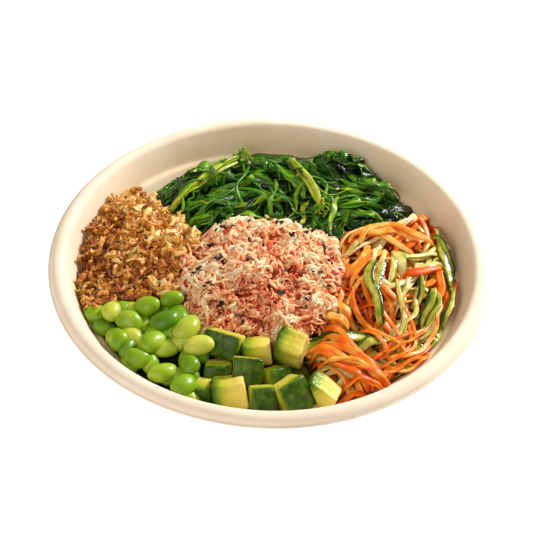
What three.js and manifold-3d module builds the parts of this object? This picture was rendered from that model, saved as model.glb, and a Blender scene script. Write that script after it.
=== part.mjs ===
// A poke bowl: a round bowl of moulded plant fibre with a rolled rim and an inner ledge, filled to
// just under its rim. A mound of shredded crab salad with black sesame stands in the middle. Round
// it lie seaweed salad, crispy fried onions, edamame beans, diced avocado, and carrot and cucumber
// cut into long threads.
//
// Millimetres, +Z up. The origin is the centre of the base, on the surface that the bowl stands on.
// +Y points across the bowl to the seaweed, and +X to the carrot and cucumber.

import * as THREE from "three";
import { mergeVertices } from "three/addons/utils/BufferGeometryUtils.js";
import Module from "manifold-3d";

const wasm = await Module();
wasm.setup();

// Bowl: radii and heights of its section.
const RIM_RADIUS = 115;
const RIM_HEIGHT = 60;
const RIM_CREST_RADIUS = 109.4;
const RIM_DROP = 4.6;
const WALL = 1.6;
const LEDGE_RADIUS = 99.3;
const LEDGE_HEIGHT = 44.6;
const LEDGE_WIDTH = 3;
const FLOOR_RADIUS = 58;
const FLOOR_HEIGHT = 2.6;
const CORNER_RADIUS = 71;
const CORNER_HEIGHT = 10;
const FOOT_RADIUS = 62;
const FOOT_WIDTH = 14;
const FOOT_RECESS = 1;
const BOWL_SIDES = 44;
const CURVE_STEPS = 2;

// Food: the gap kept between neighbours, and how high each filling stands.
const GAP = 0.35;
const WALL_GAP = 0.6;
const SIDE_GAP_TURN = 0.3;
const CAVITY_SIDES = 36;
const FOOD_RADIUS = 99.2;
const SKY = 100;

// Crab mound: a rounded heap a little wider along one diagonal.
const MOUND_X = -4;
const MOUND_Y = -11;
const MOUND_RADIUS = 44;
const MOUND_LOBE = 4;
const MOUND_LOBE_TURN = 60;
const MOUND_FOOT = 50;
const MOUND_RISE = 15;
const MOUND_LUMPS = 1;

// Where the fillings meet: a turn about the mound's centre and a turn about the bowl's, in degrees.
const CARROT_TO_SEAWEED = { mound: 44, wall: 31 };
const SEAWEED_TO_ONION = { mound: 142, wall: 141 };
const ONION_TO_BEANS = { mound: 202, wall: 200 };
const BEANS_TO_AVOCADO = { mound: 238, wall: 253.5 };
const AVOCADO_TO_CARROT = { mound: 296, wall: 291.5 };

// Single pieces.
const BEAN = { length: 14, width: 10, thickness: 8.5 };
const CARROT_THREAD = { width: 3.2, thickness: 2.6 };
const CUCUMBER_THREAD = { width: 3.8, thickness: 2.4 };
const CUCUMBER_SLICE = { width: 7, thickness: 2.6 };
const SEAWEED_STRAND = { width: 5, thickness: 1.8 };
const SEAWEED_STEM = { width: 5, thickness: 2.4 };
const ONION_FLAKE = { length: 8, width: 4, thickness: 1.6 };
const CRAB_SHRED = { length: 11, width: 4, thickness: 2.4 };
const SESAME_SEED = { length: 3, width: 1.9, thickness: 1.2 };
const THREAD_STEP = 6.5;

// ---------------------------------------------------------------------------------------------
// Small tools
// ---------------------------------------------------------------------------------------------

const turnToRadians = (degrees) => THREE.MathUtils.degToRad(degrees);
const mix = THREE.MathUtils.lerp;
const polar = (radius, degrees, x = 0, y = 0) => [
  x + radius * Math.cos(turnToRadians(degrees)),
  y + radius * Math.sin(turnToRadians(degrees)),
];

// A repeatable stream of random numbers, each drawn between two limits.
function randomFrom(seed) {
  let state = seed;
  return (low, high) => {
    state = (state * 1664525 + 1013904223) % 4294967296;
    return low + ((high - low) * state) / 4294967296;
  };
}

// A three.js geometry as a solid for joining and cutting.
function solidOf(geometry) {
  const bare = geometry.index ? geometry.toNonIndexed() : geometry;
  const points = new THREE.BufferGeometry().setAttribute("position", bare.getAttribute("position"));
  const merged = mergeVertices(points, 1e-4);
  const mesh = new wasm.Mesh({
    numProp: 3,
    vertProperties: new Float32Array(merged.getAttribute("position").array),
    triVerts: new Uint32Array(merged.index.array),
  });
  return new wasm.Manifold(mesh);
}

// The largest single body of a solid, as a three.js geometry.
function geometryOf(solid) {
  const bodies = solid.decompose().sort((a, b) => b.volume() - a.volume());
  const mesh = bodies[0].getMesh();
  return new THREE.BufferGeometry()
    .setAttribute("position", new THREE.BufferAttribute(mesh.vertProperties, 3))
    .setIndex(new THREE.BufferAttribute(mesh.triVerts, 1));
}

const joined = (solids) => solids.reduce((whole, piece) => whole.add(piece));
const cutBy = (solid, cutters) => cutters.reduce((left, cutter) => left.subtract(cutter), solid);

// ---------------------------------------------------------------------------------------------
// Bowl: a thin wall turned round the Z axis
// ---------------------------------------------------------------------------------------------

// The inside of the bowl from the middle of its floor to the start of the rim, drawn `inset` short.
function drawInside(path, inset) {
  const floor = FLOOR_HEIGHT + inset;
  path.moveTo(0, floor);
  path.lineTo(FLOOR_RADIUS - inset, floor);
  path.quadraticCurveTo(CORNER_RADIUS - 4 - inset, floor, CORNER_RADIUS - inset, CORNER_HEIGHT);
  path.lineTo(LEDGE_RADIUS - LEDGE_WIDTH - inset, LEDGE_HEIGHT - 0.8 + inset);
  path.lineTo(LEDGE_RADIUS - inset, LEDGE_HEIGHT + inset);
  path.lineTo(LEDGE_RADIUS + 0.8 - inset, LEDGE_HEIGHT + 1.2 + inset);
  path.lineTo(RIM_CREST_RADIUS - 3.8 - inset, RIM_HEIGHT - 2.6);
}

function bowlGeometry() {
  const section = new THREE.Path();
  const edgeHeight = RIM_HEIGHT - RIM_DROP;
  drawInside(section, 0);
  section.quadraticCurveTo(RIM_CREST_RADIUS - 2.9, RIM_HEIGHT, RIM_CREST_RADIUS, RIM_HEIGHT);
  section.quadraticCurveTo(RIM_RADIUS - 2, RIM_HEIGHT, RIM_RADIUS - 0.9, edgeHeight + 1.3);
  section.lineTo(RIM_RADIUS, edgeHeight + 0.9);
  section.lineTo(RIM_RADIUS, edgeHeight);
  section.lineTo(RIM_RADIUS - WALL, edgeHeight);
  section.quadraticCurveTo(RIM_RADIUS - WALL - 1.2, RIM_HEIGHT - WALL, RIM_CREST_RADIUS, RIM_HEIGHT - WALL);
  section.lineTo(RIM_CREST_RADIUS - 1.8, RIM_HEIGHT - WALL - 1.4);
  section.lineTo(LEDGE_RADIUS + 0.6 + WALL, LEDGE_HEIGHT - WALL + 0.6);
  section.lineTo(LEDGE_RADIUS - LEDGE_WIDTH + WALL, LEDGE_HEIGHT - WALL - 0.8);
  section.lineTo(CORNER_RADIUS + WALL, CORNER_HEIGHT - 0.8);
  section.quadraticCurveTo(CORNER_RADIUS - 3, 0, FOOT_RADIUS, 0);
  section.lineTo(FOOT_RADIUS - FOOT_WIDTH, 0);
  section.lineTo(FOOT_RADIUS - FOOT_WIDTH - 1.5, FOOT_RECESS);
  section.lineTo(0, FOOT_RECESS);
  return new THREE.LatheGeometry(section.getPoints(CURVE_STEPS).reverse(), BOWL_SIDES).rotateX(Math.PI / 2);
}

// The room inside the bowl that food may fill, clear of its wall.
function cavitySolid() {
  const section = new THREE.Path();
  drawInside(section, WALL_GAP);
  section.lineTo(RIM_CREST_RADIUS - 3.8 - WALL_GAP, SKY);
  section.lineTo(0, SKY);
  const room = new THREE.LatheGeometry(section.getPoints(CURVE_STEPS), CAVITY_SIDES);
  return solidOf(room.rotateX(Math.PI / 2));
}

// ---------------------------------------------------------------------------------------------
// Heaps: each filling's outline in plan and the height of its bare core
// ---------------------------------------------------------------------------------------------

function moundEdge(degrees, margin = 0) {
  const lobe = MOUND_LOBE * Math.cos(2 * turnToRadians(degrees - MOUND_LOBE_TURN));
  return polar(MOUND_RADIUS + lobe + margin, degrees, MOUND_X, MOUND_Y);
}

function moundOutline(steps = 30) {
  return Array.from({ length: steps }, (_, i) => moundEdge((360 * i) / steps));
}

const fullTurnOn = ({ mound, wall }) => ({ mound: mound + 360, wall: wall + 360 });

// Round the outer wall from one filling's edge to the next, then back along the foot of the mound.
function sectorOutline(from, to, wallSteps, moundSteps) {
  const outline = [];
  for (let i = 0; i <= wallSteps; i++) {
    const turn = mix(from.wall + SIDE_GAP_TURN, to.wall - SIDE_GAP_TURN, i / wallSteps);
    outline.push(polar(FOOD_RADIUS, turn));
  }
  for (let i = moundSteps; i >= 0; i--) {
    const turn = mix(from.mound + SIDE_GAP_TURN, to.mound - SIDE_GAP_TURN, i / moundSteps);
    outline.push(moundEdge(turn, 2 * GAP));
  }
  return outline;
}

// Uneven lumps, `high` millimetres up and down.
const lumps = (x, y, high) => high * Math.sin(0.53 * x + 0.21 * y) * Math.sin(0.47 * y - 0.26 * x + 1);

// The height of a heap's bare core: level at the wall, rising inwards, with a soft summit.
function slopeTop({ wall, inner, dome = 0, summit = [0, 0], spread = 20, lumpy = 0 }) {
  return (x, y) => {
    const fromWall = (FOOD_RADIUS - Math.hypot(x, y)) / (FOOD_RADIUS - MOUND_RADIUS);
    const inwards = THREE.MathUtils.clamp(fromWall, 0, 1);
    const away = Math.hypot(x - summit[0], y - summit[1]) / spread;
    return mix(wall, inner, Math.sqrt(inwards)) + dome * Math.exp(-away * away) + lumps(x, y, lumpy);
  };
}

function moundTop(x, y) {
  const away = Math.hypot(x - MOUND_X, y - MOUND_Y) / MOUND_RADIUS;
  const rounded = Math.sqrt(Math.max(0, 1 - 0.8 * away * away)) - 0.45 * away * away;
  return MOUND_FOOT + MOUND_RISE * rounded + lumps(x, y, MOUND_LUMPS);
}

function isInside(outline, x, y) {
  let inside = false;
  outline.forEach(([ax, ay], i) => {
    const [bx, by] = outline[(i + 1) % outline.length];
    if (ay > y !== by > y && x < ((bx - ax) * (y - ay)) / (by - ay) + ax) inside = !inside;
  });
  return inside;
}

// A closed block over an outline that can be seen whole from `centre`, from z 0 up to top(x, y).
function coreSolid({ outline, centre, top, rings }) {
  const count = outline.length;
  const vertices = [...centre, 0, ...centre, top(...centre)];
  const faces = [];
  for (let ring = 1; ring <= rings; ring++) {
    for (const [ox, oy] of outline) {
      const x = mix(centre[0], ox, ring / rings);
      const y = mix(centre[1], oy, ring / rings);
      vertices.push(x, y, top(x, y));
    }
  }
  for (const [x, y] of outline) vertices.push(x, y, 0);
  const at = (ring, i) => 2 + (ring - 1) * count + (i % count);
  for (let i = 0; i < count; i++) {
    faces.push(1, at(1, i), at(1, i + 1));
    for (let ring = 1; ring <= rings; ring++) {
      faces.push(at(ring, i), at(ring + 1, i), at(ring + 1, i + 1));
      faces.push(at(ring, i), at(ring + 1, i + 1), at(ring, i + 1));
    }
    faces.push(0, at(rings + 1, i + 1), at(rings + 1, i));
  }
  const geometry = new THREE.BufferGeometry();
  geometry.setAttribute("position", new THREE.Float32BufferAttribute(vertices, 3));
  geometry.setIndex(faces);
  return solidOf(geometry);
}

function columnOver(outline) {
  const shape = new THREE.Shape(outline.map(([x, y]) => new THREE.Vector2(x, y)));
  return solidOf(new THREE.ExtrudeGeometry(shape, { depth: SKY, bevelEnabled: false }));
}

// ---------------------------------------------------------------------------------------------
// Single pieces, each a closed solid lying where it is put
// ---------------------------------------------------------------------------------------------

function put(geometry, [x, y, z], { turn = 0, tilt = 0, roll = 0 }) {
  const angles = new THREE.Euler(turnToRadians(roll), turnToRadians(tilt), turnToRadians(turn), "ZYX");
  const place = new THREE.Matrix4().makeRotationFromEuler(angles).setPosition(x, y, z);
  return solidOf(geometry.applyMatrix4(place));
}

// Moves every point of a geometry by a rule.
function shaped(geometry, rule) {
  const position = geometry.getAttribute("position");
  const point = new THREE.Vector3();
  for (let i = 0; i < position.count; i++) {
    point.fromBufferAttribute(position, i);
    rule(point);
    position.setXYZ(i, point.x, point.y, point.z);
  }
  return geometry;
}

// An edamame bean: a plump oval, slightly bent, thinner through than across.
function beanGeometry({ length, width, thickness }) {
  return shaped(new THREE.SphereGeometry(0.5, 6, 4).rotateZ(Math.PI / 2), (p) => {
    p.set(p.x * length, p.y * width - 1.2 * (2 * p.x) ** 2, p.z * thickness);
  });
}

// A sesame seed: a small drop, pointed at one end.
function seedGeometry({ length, width, thickness }) {
  return shaped(new THREE.SphereGeometry(0.5, 5, 4).rotateZ(Math.PI / 2), (p) => {
    const taper = 1 - 0.5 * (p.x + 0.5);
    p.set(p.x * length, p.y * width * taper, p.z * thickness * taper);
  });
}

// A bent strip, narrower at its ends: a shred of crab or a flake of fried onion.
function stripGeometry({ length, width, thickness }, bend, steps) {
  return shaped(new THREE.BoxGeometry(1, 1, 1, steps, 1, 1), (p) => {
    const end = (2 * p.x) ** 2;
    const narrow = 1 - 0.45 * end;
    p.set(p.x * length, p.y * width * narrow, p.z * thickness * narrow - bend * end);
  });
}

// A thread or strand: a box bent along a line of points, its broad side kept upwards.
function threadSolid(points, { width, thickness }) {
  const line = new THREE.CatmullRomCurve3(points);
  const up = new THREE.Vector3(0, 0, 1);
  const box = new THREE.BoxGeometry(1, 1, 1, points.length - 1, 1, 1);
  return solidOf(
    shaped(box, (p) => {
      const along = line.getTangent(p.x + 0.5);
      const across = new THREE.Vector3().crossVectors(up, along).normalize();
      const outwards = new THREE.Vector3().crossVectors(along, across);
      const { y, z } = p;
      p.copy(line.getPoint(p.x + 0.5));
      p.addScaledVector(across, y * width).addScaledVector(outwards, z * thickness);
    }),
  );
}

// Lays a thread over a heap and over the threads laid before it. x, y and turn are of its middle, and
// curl is its bend in degrees for each millimetre. Both ends are tucked into the core, and it is
// shortened where it would leave the heap.
function layThread(heap, section, { x, y, turn, length, curl }) {
  const bend = turnToRadians(curl);
  const start = turnToRadians(turn);
  const points = [];
  for (let gone = -length / 2; gone <= length / 2; gone += THREAD_STEP) {
    const heading = start + bend * gone;
    const px = x + (Math.sin(heading) - Math.sin(start)) / bend;
    const py = y - (Math.cos(heading) - Math.cos(start)) / bend;
    if (isInside(heap.outline, px, py)) points.push(new THREE.Vector3(px, py, heap.top(px, py)));
  }
  if (points.length < 4) return [];
  const spots = points.slice(1, -1);
  for (const spot of spots) {
    const near = ({ x: ox, y: oy }) => Math.hypot(ox - spot.x, oy - spot.y) < section.width + 1;
    const ground = Math.max(spot.z, ...heap.laid.filter(near).map((other) => other.top));
    spot.z = ground + section.thickness / 2 + GAP;
  }
  for (let i = 1; i < spots.length - 1; i++) {
    spots[i].z = Math.max(spots[i].z, (spots[i - 1].z + spots[i + 1].z) / 2);
  }
  points[0].z -= section.thickness;
  points.at(-1).z -= section.thickness;
  for (const { x: px, y: py, z } of spots) heap.laid.push({ x: px, y: py, top: z + section.thickness / 2 });
  return [threadSolid(points, section)];
}

// A random spot inside a heap's outline.
function spotIn(heap, random) {
  for (;;) {
    const x = random(-FOOD_RADIUS, FOOD_RADIUS);
    const y = random(-FOOD_RADIUS, FOOD_RADIUS);
    if (isInside(heap.outline, x, y)) return [x, y];
  }
}

// Spots spread evenly over a heap: each is kept only if it is `apart` from those before it.
function spreadSpots(heap, count, apart, random) {
  const spots = [];
  for (let tries = 0; spots.length < count && tries < 60 * count; tries++) {
    const [x, y] = spotIn(heap, random);
    if (spots.every(([sx, sy]) => Math.hypot(sx - x, sy - y) > apart)) spots.push([x, y]);
  }
  return spots;
}

// The middle share of a heap's outline.
function pulledIn({ outline, centre: [cx, cy] }, share) {
  return { outline: outline.map(([x, y]) => [mix(cx, x, share), mix(cy, y, share)]) };
}

// ---------------------------------------------------------------------------------------------
// Avocado: peeled dice, each with one rounded side that lay under the skin
// ---------------------------------------------------------------------------------------------

// The dice lie in three rows round the bowl's centre, evenly spaced between the row's two turns.
// Each has its row and its place in it, the height of its centre, its size and how it lies, the
// top ones first. The rounded side faces +X before it turns.
const BACK_ROW = { radius: 61, from: 250, to: 282, gaps: 2 };
const MIDDLE_ROW = { radius: 75, from: 252, to: 274, gaps: 2 };
const FRONT_ROW = { radius: 89, from: 250, to: 288, gaps: 4 };
const DICE = [
  { row: BACK_ROW, place: 0, high: 51, size: [12, 18, 12], turn: 245, tilt: -35, roll: 5 },
  { row: BACK_ROW, place: 1, high: 50, size: [13, 12, 11], turn: 185, tilt: 5, roll: 20 },
  { row: BACK_ROW, place: 2, high: 52, size: [13, 13, 18], turn: 160, tilt: -5, roll: -15 },
  { row: MIDDLE_ROW, place: 1, high: 50, size: [12, 14, 14], turn: 280, tilt: -40, roll: -10 },
  { row: FRONT_ROW, place: 1, high: 48, size: [15, 14, 15], turn: 190, tilt: 10, roll: 25 },
  { row: FRONT_ROW, place: 3, high: 49, size: [13, 14, 16], turn: 310, tilt: -35, roll: 5 },
  { row: FRONT_ROW, place: 4, high: 47, size: [15, 13, 13], turn: 160, tilt: -25, roll: 15 },
  { row: MIDDLE_ROW, place: 0, high: 45, size: [11, 13, 11], turn: 270, tilt: -25, roll: 0 },
  { row: FRONT_ROW, place: 2, high: 46, size: [12, 12, 14], turn: 290, tilt: -35, roll: -10 },
  { row: MIDDLE_ROW, place: 2, high: 45, size: [10, 11, 13], turn: 320, tilt: -30, roll: -20 },
  { row: FRONT_ROW, place: 0, high: 44, size: [10, 11, 12], turn: 260, tilt: -10, roll: 0 },
  { row: FRONT_ROW, place: 3.5, high: 42, size: [11, 11, 9], turn: 210, tilt: -5, roll: 10 },
];

function dieSolid({ row, place, high, size, turn, tilt, roll }, grow) {
  const [sx, sy, sz] = size.map((side) => side + 2 * grow);
  const block = shaped(new THREE.BoxGeometry(1, 1, 1, 2, 2, 2), (p) => {
    const rounded = 1 - 1.6 * (p.y * p.y + p.z * p.z);
    const flare = 1 + 0.12 * p.x;
    p.set(p.x * sx + (p.x > 0.4 ? 2 * rounded : 0), p.y * sy * flare, p.z * sz * flare);
  });
  const roundBowl = mix(row.from, row.to, place / row.gaps);
  return put(block, [...polar(row.radius, roundBowl), high], { turn, tilt, roll });
}

// ---------------------------------------------------------------------------------------------
// The fillings
// ---------------------------------------------------------------------------------------------

const crab = { outline: moundOutline(), centre: [MOUND_X, MOUND_Y], top: moundTop, rings: 5 };
const seaweed = {
  outline: sectorOutline(CARROT_TO_SEAWEED, SEAWEED_TO_ONION, 11, 7),
  centre: polar(72, 88),
  top: slopeTop({ wall: 42, inner: 50, dome: 5, summit: polar(70, 85), spread: 34 }),
  rings: 3,
  laid: [],
};
const onion = {
  outline: sectorOutline(SEAWEED_TO_ONION, ONION_TO_BEANS, 7, 5),
  centre: polar(72, 171),
  top: slopeTop({ wall: 44, inner: 51, dome: 6, summit: polar(70, 168), spread: 24, lumpy: 1.2 }),
  rings: 5,
};
const edamame = {
  outline: sectorOutline(ONION_TO_BEANS, BEANS_TO_AVOCADO, 6, 4),
  centre: polar(76, 224),
  top: slopeTop({ wall: 41, inner: 50 }),
  rings: 3,
};
const avocado = {
  outline: sectorOutline(BEANS_TO_AVOCADO, AVOCADO_TO_CARROT, 5, 5),
  centre: polar(78, 270),
  top: slopeTop({ wall: 35, inner: 42 }),
  rings: 3,
};
const threads = {
  outline: sectorOutline(AVOCADO_TO_CARROT, fullTurnOn(CARROT_TO_SEAWEED), 11, 7),
  centre: polar(72, -18),
  top: slopeTop({ wall: 42, inner: 50, dome: 4, summit: polar(66, 0), spread: 34 }),
  rings: 3,
  laid: [],
};

// Crab shreds lie every way over the mound, with black sesame seeds scattered on its crown.
function crabPieces() {
  const random = randomFrom(11);
  const shreds = spreadSpots(crab, 30, 11, random).map(([x, y]) => {
    const { length, width, thickness } = CRAB_SHRED;
    const grown = random(0.8, 1.2);
    const size = { length: length * grown, width, thickness };
    return put(stripGeometry(size, random(0.6, 1.8), 2), [x, y, crab.top(x, y) + 0.6], {
      turn: random(0, 180),
      tilt: random(-25, 25),
      roll: random(-30, 30),
    });
  });
  const crown = { outline: crab.outline.map(([x, y]) => [mix(MOUND_X, x, 0.8), mix(MOUND_Y, y, 0.8) + 6]) };
  const seeds = spreadSpots(crown, 13, 10, random).map(([x, y]) => {
    const lies = { turn: random(0, 360), tilt: random(-20, 20) };
    return put(seedGeometry(SESAME_SEED), [x, y, crab.top(x, y) + SESAME_SEED.thickness], lies);
  });
  return [...shreds, ...seeds];
}

// Flakes of fried onion stand at all angles.
function onionPieces() {
  const random = randomFrom(29);
  return spreadSpots(onion, 38, 7.5, random).map(([x, y]) => {
    const grown = random(0.7, 1.35);
    const { length, width, thickness } = ONION_FLAKE;
    const size = { length: length * grown, width: width * random(0.8, 1.3), thickness };
    return put(stripGeometry(size, random(0.4, 1.6), 2), [x, y, onion.top(x, y) + random(0.5, 2)], {
      turn: random(0, 360),
      tilt: random(-50, 50),
      roll: random(-60, 60),
    });
  });
}

// Seaweed strands sweep from side to side, clear of the bowl's wall, with a few paler stems on top.
function seaweedPieces() {
  const random = randomFrom(5);
  const bed = { ...seaweed, ...pulledIn(seaweed, 0.88) };
  const strands = spreadSpots(bed, 12, 14, random).flatMap(([x, y]) =>
    layThread(bed, SEAWEED_STRAND, {
      x,
      y,
      turn: random(-30, 30),
      length: random(40, 64),
      curl: random(-1, 1),
    }),
  );
  const stems = spreadSpots(pulledIn(seaweed, 0.7), 3, 32, random).flatMap(([x, y]) =>
    layThread(bed, SEAWEED_STEM, {
      x,
      y,
      turn: random(-60, 60),
      length: random(30, 40),
      curl: random(-1.5, 1.5),
    }),
  );
  return [...strands, ...stems];
}

// Carrot and cucumber threads lie tangled, with curved cucumber slices that keep their skin.
function threadPieces() {
  const random = randomFrom(41);
  const scattered = spreadSpots(threads, 12, 14, random).flatMap(([x, y], i) =>
    layThread(threads, i % 2 ? CUCUMBER_THREAD : CARROT_THREAD, {
      x,
      y,
      turn: random(0, 360),
      length: random(32, 56),
      curl: random(-2, 2),
    }),
  );
  const slices = spreadSpots(threads, 3, 34, random).flatMap(([x, y]) =>
    layThread(threads, CUCUMBER_SLICE, {
      x,
      y,
      turn: random(20, 110),
      length: random(30, 46),
      curl: random(-2, 2),
    }),
  );
  const onTop = spreadSpots(threads, 4, 30, random).flatMap(([x, y]) =>
    layThread(threads, CARROT_THREAD, {
      x,
      y,
      turn: random(200, 340),
      length: random(36, 52),
      curl: random(-2, 2),
    }),
  );
  return [...scattered, ...slices, ...onTop];
}

// Edamame beans lie at all turns in a lower layer, with a few more on top, clear of the bowl's wall.
function beanPieces() {
  const random = randomFrom(3);
  const bed = pulledIn(edamame, 0.86);
  const layer = (count, apart, lowest, highest) =>
    spreadSpots(bed, count, apart, random).map(([x, y]) => {
      const grown = random(0.9, 1.08);
      const { length, width, thickness } = BEAN;
      const size = { length: length * grown, width: width * grown, thickness: thickness * grown };
      const lies = { turn: random(0, 180), tilt: random(-12, 12) };
      return put(beanGeometry(size), [x, y, edamame.top(x, y) + random(lowest, highest)], lies);
    });
  return [...layer(17, 10, 1.5, 3.5), ...layer(6, 16, 6, 7.5)];
}

// ---------------------------------------------------------------------------------------------
// The whole bowl
// ---------------------------------------------------------------------------------------------

const MATERIALS = {
  fibre: new THREE.MeshStandardMaterial({ color: 0xe6d5bd, roughness: 0.85 }),
  seaweed: new THREE.MeshStandardMaterial({ color: 0x2c7a22, roughness: 0.25 }),
  onion: new THREE.MeshStandardMaterial({ color: 0xb9782e, roughness: 0.7 }),
  edamame: new THREE.MeshStandardMaterial({ color: 0x7fb52b, roughness: 0.35 }),
  avocado: new THREE.MeshStandardMaterial({ color: 0xb7b23f, roughness: 0.45 }),
  crab: new THREE.MeshStandardMaterial({ color: 0xe7a283, roughness: 0.55 }),
  threads: new THREE.MeshStandardMaterial({ color: 0xee7c22, roughness: 0.4 }),
};

const bowl = new THREE.Group();

function addPiece(name, geometry, material) {
  const mesh = new THREE.Mesh(geometry, MATERIALS[material]);
  mesh.name = name;
  bowl.add(mesh);
}

const cavity = cavitySolid();
const diceWithRoom = DICE.map((die) => dieSolid(die, GAP));

// A heap's core with its pieces fused on, kept within its own share of the bowl and clear of the dice.
function heapGeometry(heap, pieces) {
  const whole = joined([coreSolid(heap), ...pieces]);
  const kept = whole.intersect(columnOver(heap.outline)).intersect(cavity);
  return geometryOf(cutBy(kept, diceWithRoom));
}

addPiece("bowl", bowlGeometry(), "fibre");
addPiece("crab_salad", heapGeometry(crab, crabPieces()), "crab");
addPiece("seaweed_salad", heapGeometry(seaweed, seaweedPieces()), "seaweed");
addPiece("crispy_onion", heapGeometry(onion, onionPieces()), "onion");
addPiece("edamame", heapGeometry(edamame, beanPieces()), "edamame");
addPiece("carrot_cucumber_threads", heapGeometry(threads, threadPieces()), "threads");
addPiece("avocado_lower_layer", heapGeometry(avocado, []), "avocado");
DICE.forEach((die, i) => {
  const whole = dieSolid(die, 0).intersect(cavity);
  addPiece(`avocado_die_${i + 1}`, geometryOf(cutBy(whole, diceWithRoom.slice(0, i))), "avocado");
});

export default bowl;
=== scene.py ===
import math

import bpy
import numpy as np
from mathutils import Matrix, Vector


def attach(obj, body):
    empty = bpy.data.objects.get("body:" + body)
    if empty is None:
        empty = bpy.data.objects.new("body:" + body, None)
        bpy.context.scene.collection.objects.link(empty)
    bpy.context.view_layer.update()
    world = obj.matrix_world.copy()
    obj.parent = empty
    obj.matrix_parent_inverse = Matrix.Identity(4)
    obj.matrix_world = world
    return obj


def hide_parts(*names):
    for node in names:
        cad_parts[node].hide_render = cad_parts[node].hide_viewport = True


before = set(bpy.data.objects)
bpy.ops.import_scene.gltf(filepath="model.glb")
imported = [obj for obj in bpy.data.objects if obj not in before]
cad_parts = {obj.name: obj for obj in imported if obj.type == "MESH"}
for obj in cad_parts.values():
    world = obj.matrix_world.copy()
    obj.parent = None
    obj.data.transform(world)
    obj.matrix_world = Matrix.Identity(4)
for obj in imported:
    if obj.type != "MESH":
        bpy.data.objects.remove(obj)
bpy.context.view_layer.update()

# ---------------------------------------------------------------------------------------------
# Bowl: one thin wall of moulded plant fibre, pressed wet between heated tools and then trimmed.
# It has a flat foot, a sloping side, a narrow inner ledge, and a rolled rim that ends in a thin
# flange. The faces are matt, slightly mottled and show short fibres.
# ---------------------------------------------------------------------------------------------

MM = 0.001
BOWL_SIDES = 256
FLOOR_HEIGHT = 2.6
RIM_RADIUS, RIM_HEIGHT, CREST_RADIUS = 115, 60, 109.4
FOOT_RADIUS, FOOT_RECESS = 62, 1
# The rim's colours are a lit copy of the fibre's colour and the wall's a shaded copy: painted light on the
# rim, and painted shade, darker and warmer, on the wall.
PAINTED_LIT_RIM_CREAM, PAINTED_LIT_RIM_TAN = (245, 234, 217), (238, 223, 203)
PAINTED_SHADE_WALL_CREAM, PAINTED_SHADE_WALL_TAN = (234, 218, 190), (226, 206, 175)
FIBRE_FLECK = (205, 180, 150)
PAINTED_RIM_LIGHT_FROM, PAINTED_RIM_LIGHT_TO = 48 * MM, 59 * MM

# The wall's outline as radius and height: up the inside, over the rim, down the outside and under
# the foot. A straight stretch is (end, steps) and a bend is (control, end, steps).
INSIDE = [
    ((57, FLOOR_HEIGHT), 12), ((67, FLOOR_HEIGHT), (71, 10), 10), ((95.5, 42.8), 14),
    ((96.6, 44.3), (97.6, 44.5), 4), ((98.9, 44.6), 1), ((99.6, 44.7), (100.1, 45.8), 4),
    ((105.4, 57), 8), ((106.6, RIM_HEIGHT), (CREST_RADIUS, RIM_HEIGHT), 10),
]
RIM = [
    ((112.6, 59.9), (113.9, 57), 10), ((114, 56.6), 1), ((114.5, 56.35), 1), ((114.9, 56.2), 1),
    ((RIM_RADIUS, 55.9), 1), ((RIM_RADIUS, 55.6), 1), ((114.8, 55.4), 1), ((113.6, 55.4), 1),
    ((113.3, 55.6), 1),
]
OUTSIDE = [
    ((112.2, 58.3), (CREST_RADIUS, 58.4), 6), ((107.8, 58.3), (107, 55.6), 5), ((101.6, 43.7), 6),
    ((100.6, 42.9), 1), ((98.2, 42.4), 1), ((97.2, 41.4), 1), ((72.8, 9.2), 10),
    ((68, 0), (FOOT_RADIUS, 0), 8),
]
UNDERSIDE = [((48, 0), 3), ((47, 0.1), (46.5, FOOT_RECESS), 3), ((0, FOOT_RECESS), 6)]


def srgb(red, green, blue):
    """A colour as a painter mixes it, 0 to 255, as the linear colour that a shader takes."""
    mixed = np.array([red, green, blue]) / 255
    linear = np.where(mixed <= 0.04045, mixed / 12.92, ((mixed + 0.055) / 1.055) ** 2.4)
    return (*linear, 1.0)


def shader_of(name, **sockets):
    """A new material and its shader. Each value is set on the shader's own socket."""
    material = bpy.data.materials.new(name)
    material.use_nodes = True
    shader = material.node_tree.nodes["Principled BSDF"]
    for socket, value in sockets.items():
        shader.inputs[socket.replace("_", " ")].default_value = value
    return material, shader


def add_node(material, kind, sockets=(), **settings):
    node = material.node_tree.nodes.new("ShaderNode" + kind)
    for setting, value in settings.items():
        setattr(node, setting, value)
    for socket, value in dict(sockets).items():
        if isinstance(value, bpy.types.NodeSocket):
            material.node_tree.links.new(value, node.inputs[socket])
        else:
            node.inputs[socket].default_value = value
    return node


def link(material, output, socket):
    material.node_tree.links.new(output, socket)


def grain(material, size_mm, detail=3.0, stretch=(1, 1, 1)):
    """Noise fixed to the piece, with features about size_mm across."""
    place = add_node(material, "TexCoord").outputs["Object"]
    scale = tuple(1 / (size_mm * MM * along) for along in stretch)
    scaled = add_node(material, "Mapping", {"Vector": place, "Scale": scale}).outputs[0]
    return add_node(material, "TexNoise", {"Vector": scaled, "Scale": 1.0, "Detail": detail}).outputs["Fac"]


def ramp(material, factor, stops):
    """Blends colours along a factor: stops are (place, colour)."""
    node = add_node(material, "ValToRGB", {"Fac": factor})
    elements = node.color_ramp.elements
    while len(elements) < len(stops):
        elements.new(0.5)
    for element, (place, colour) in zip(elements, stops):
        element.position = place
        element.color = srgb(*colour)
    return node.outputs["Color"]


def blend(material, factor, first, second):
    node = add_node(material, "Mix", data_type="RGBA", blend_type="MIX")
    for index, value in ((0, factor), (6, first), (7, second)):
        if isinstance(value, bpy.types.NodeSocket):
            link(material, value, node.inputs[index])
        else:
            node.inputs[index].default_value = value
    return node.outputs[2]


def spread(material, value, low, high, to_low=0.0, to_high=1.0):
    """Stretches the part of a value between low and high to a new range."""
    sockets = {"Value": value, "From Min": low, "From Max": high, "To Min": to_low, "To Max": to_high}
    return add_node(material, "MapRange", sockets).outputs["Result"]


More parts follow.
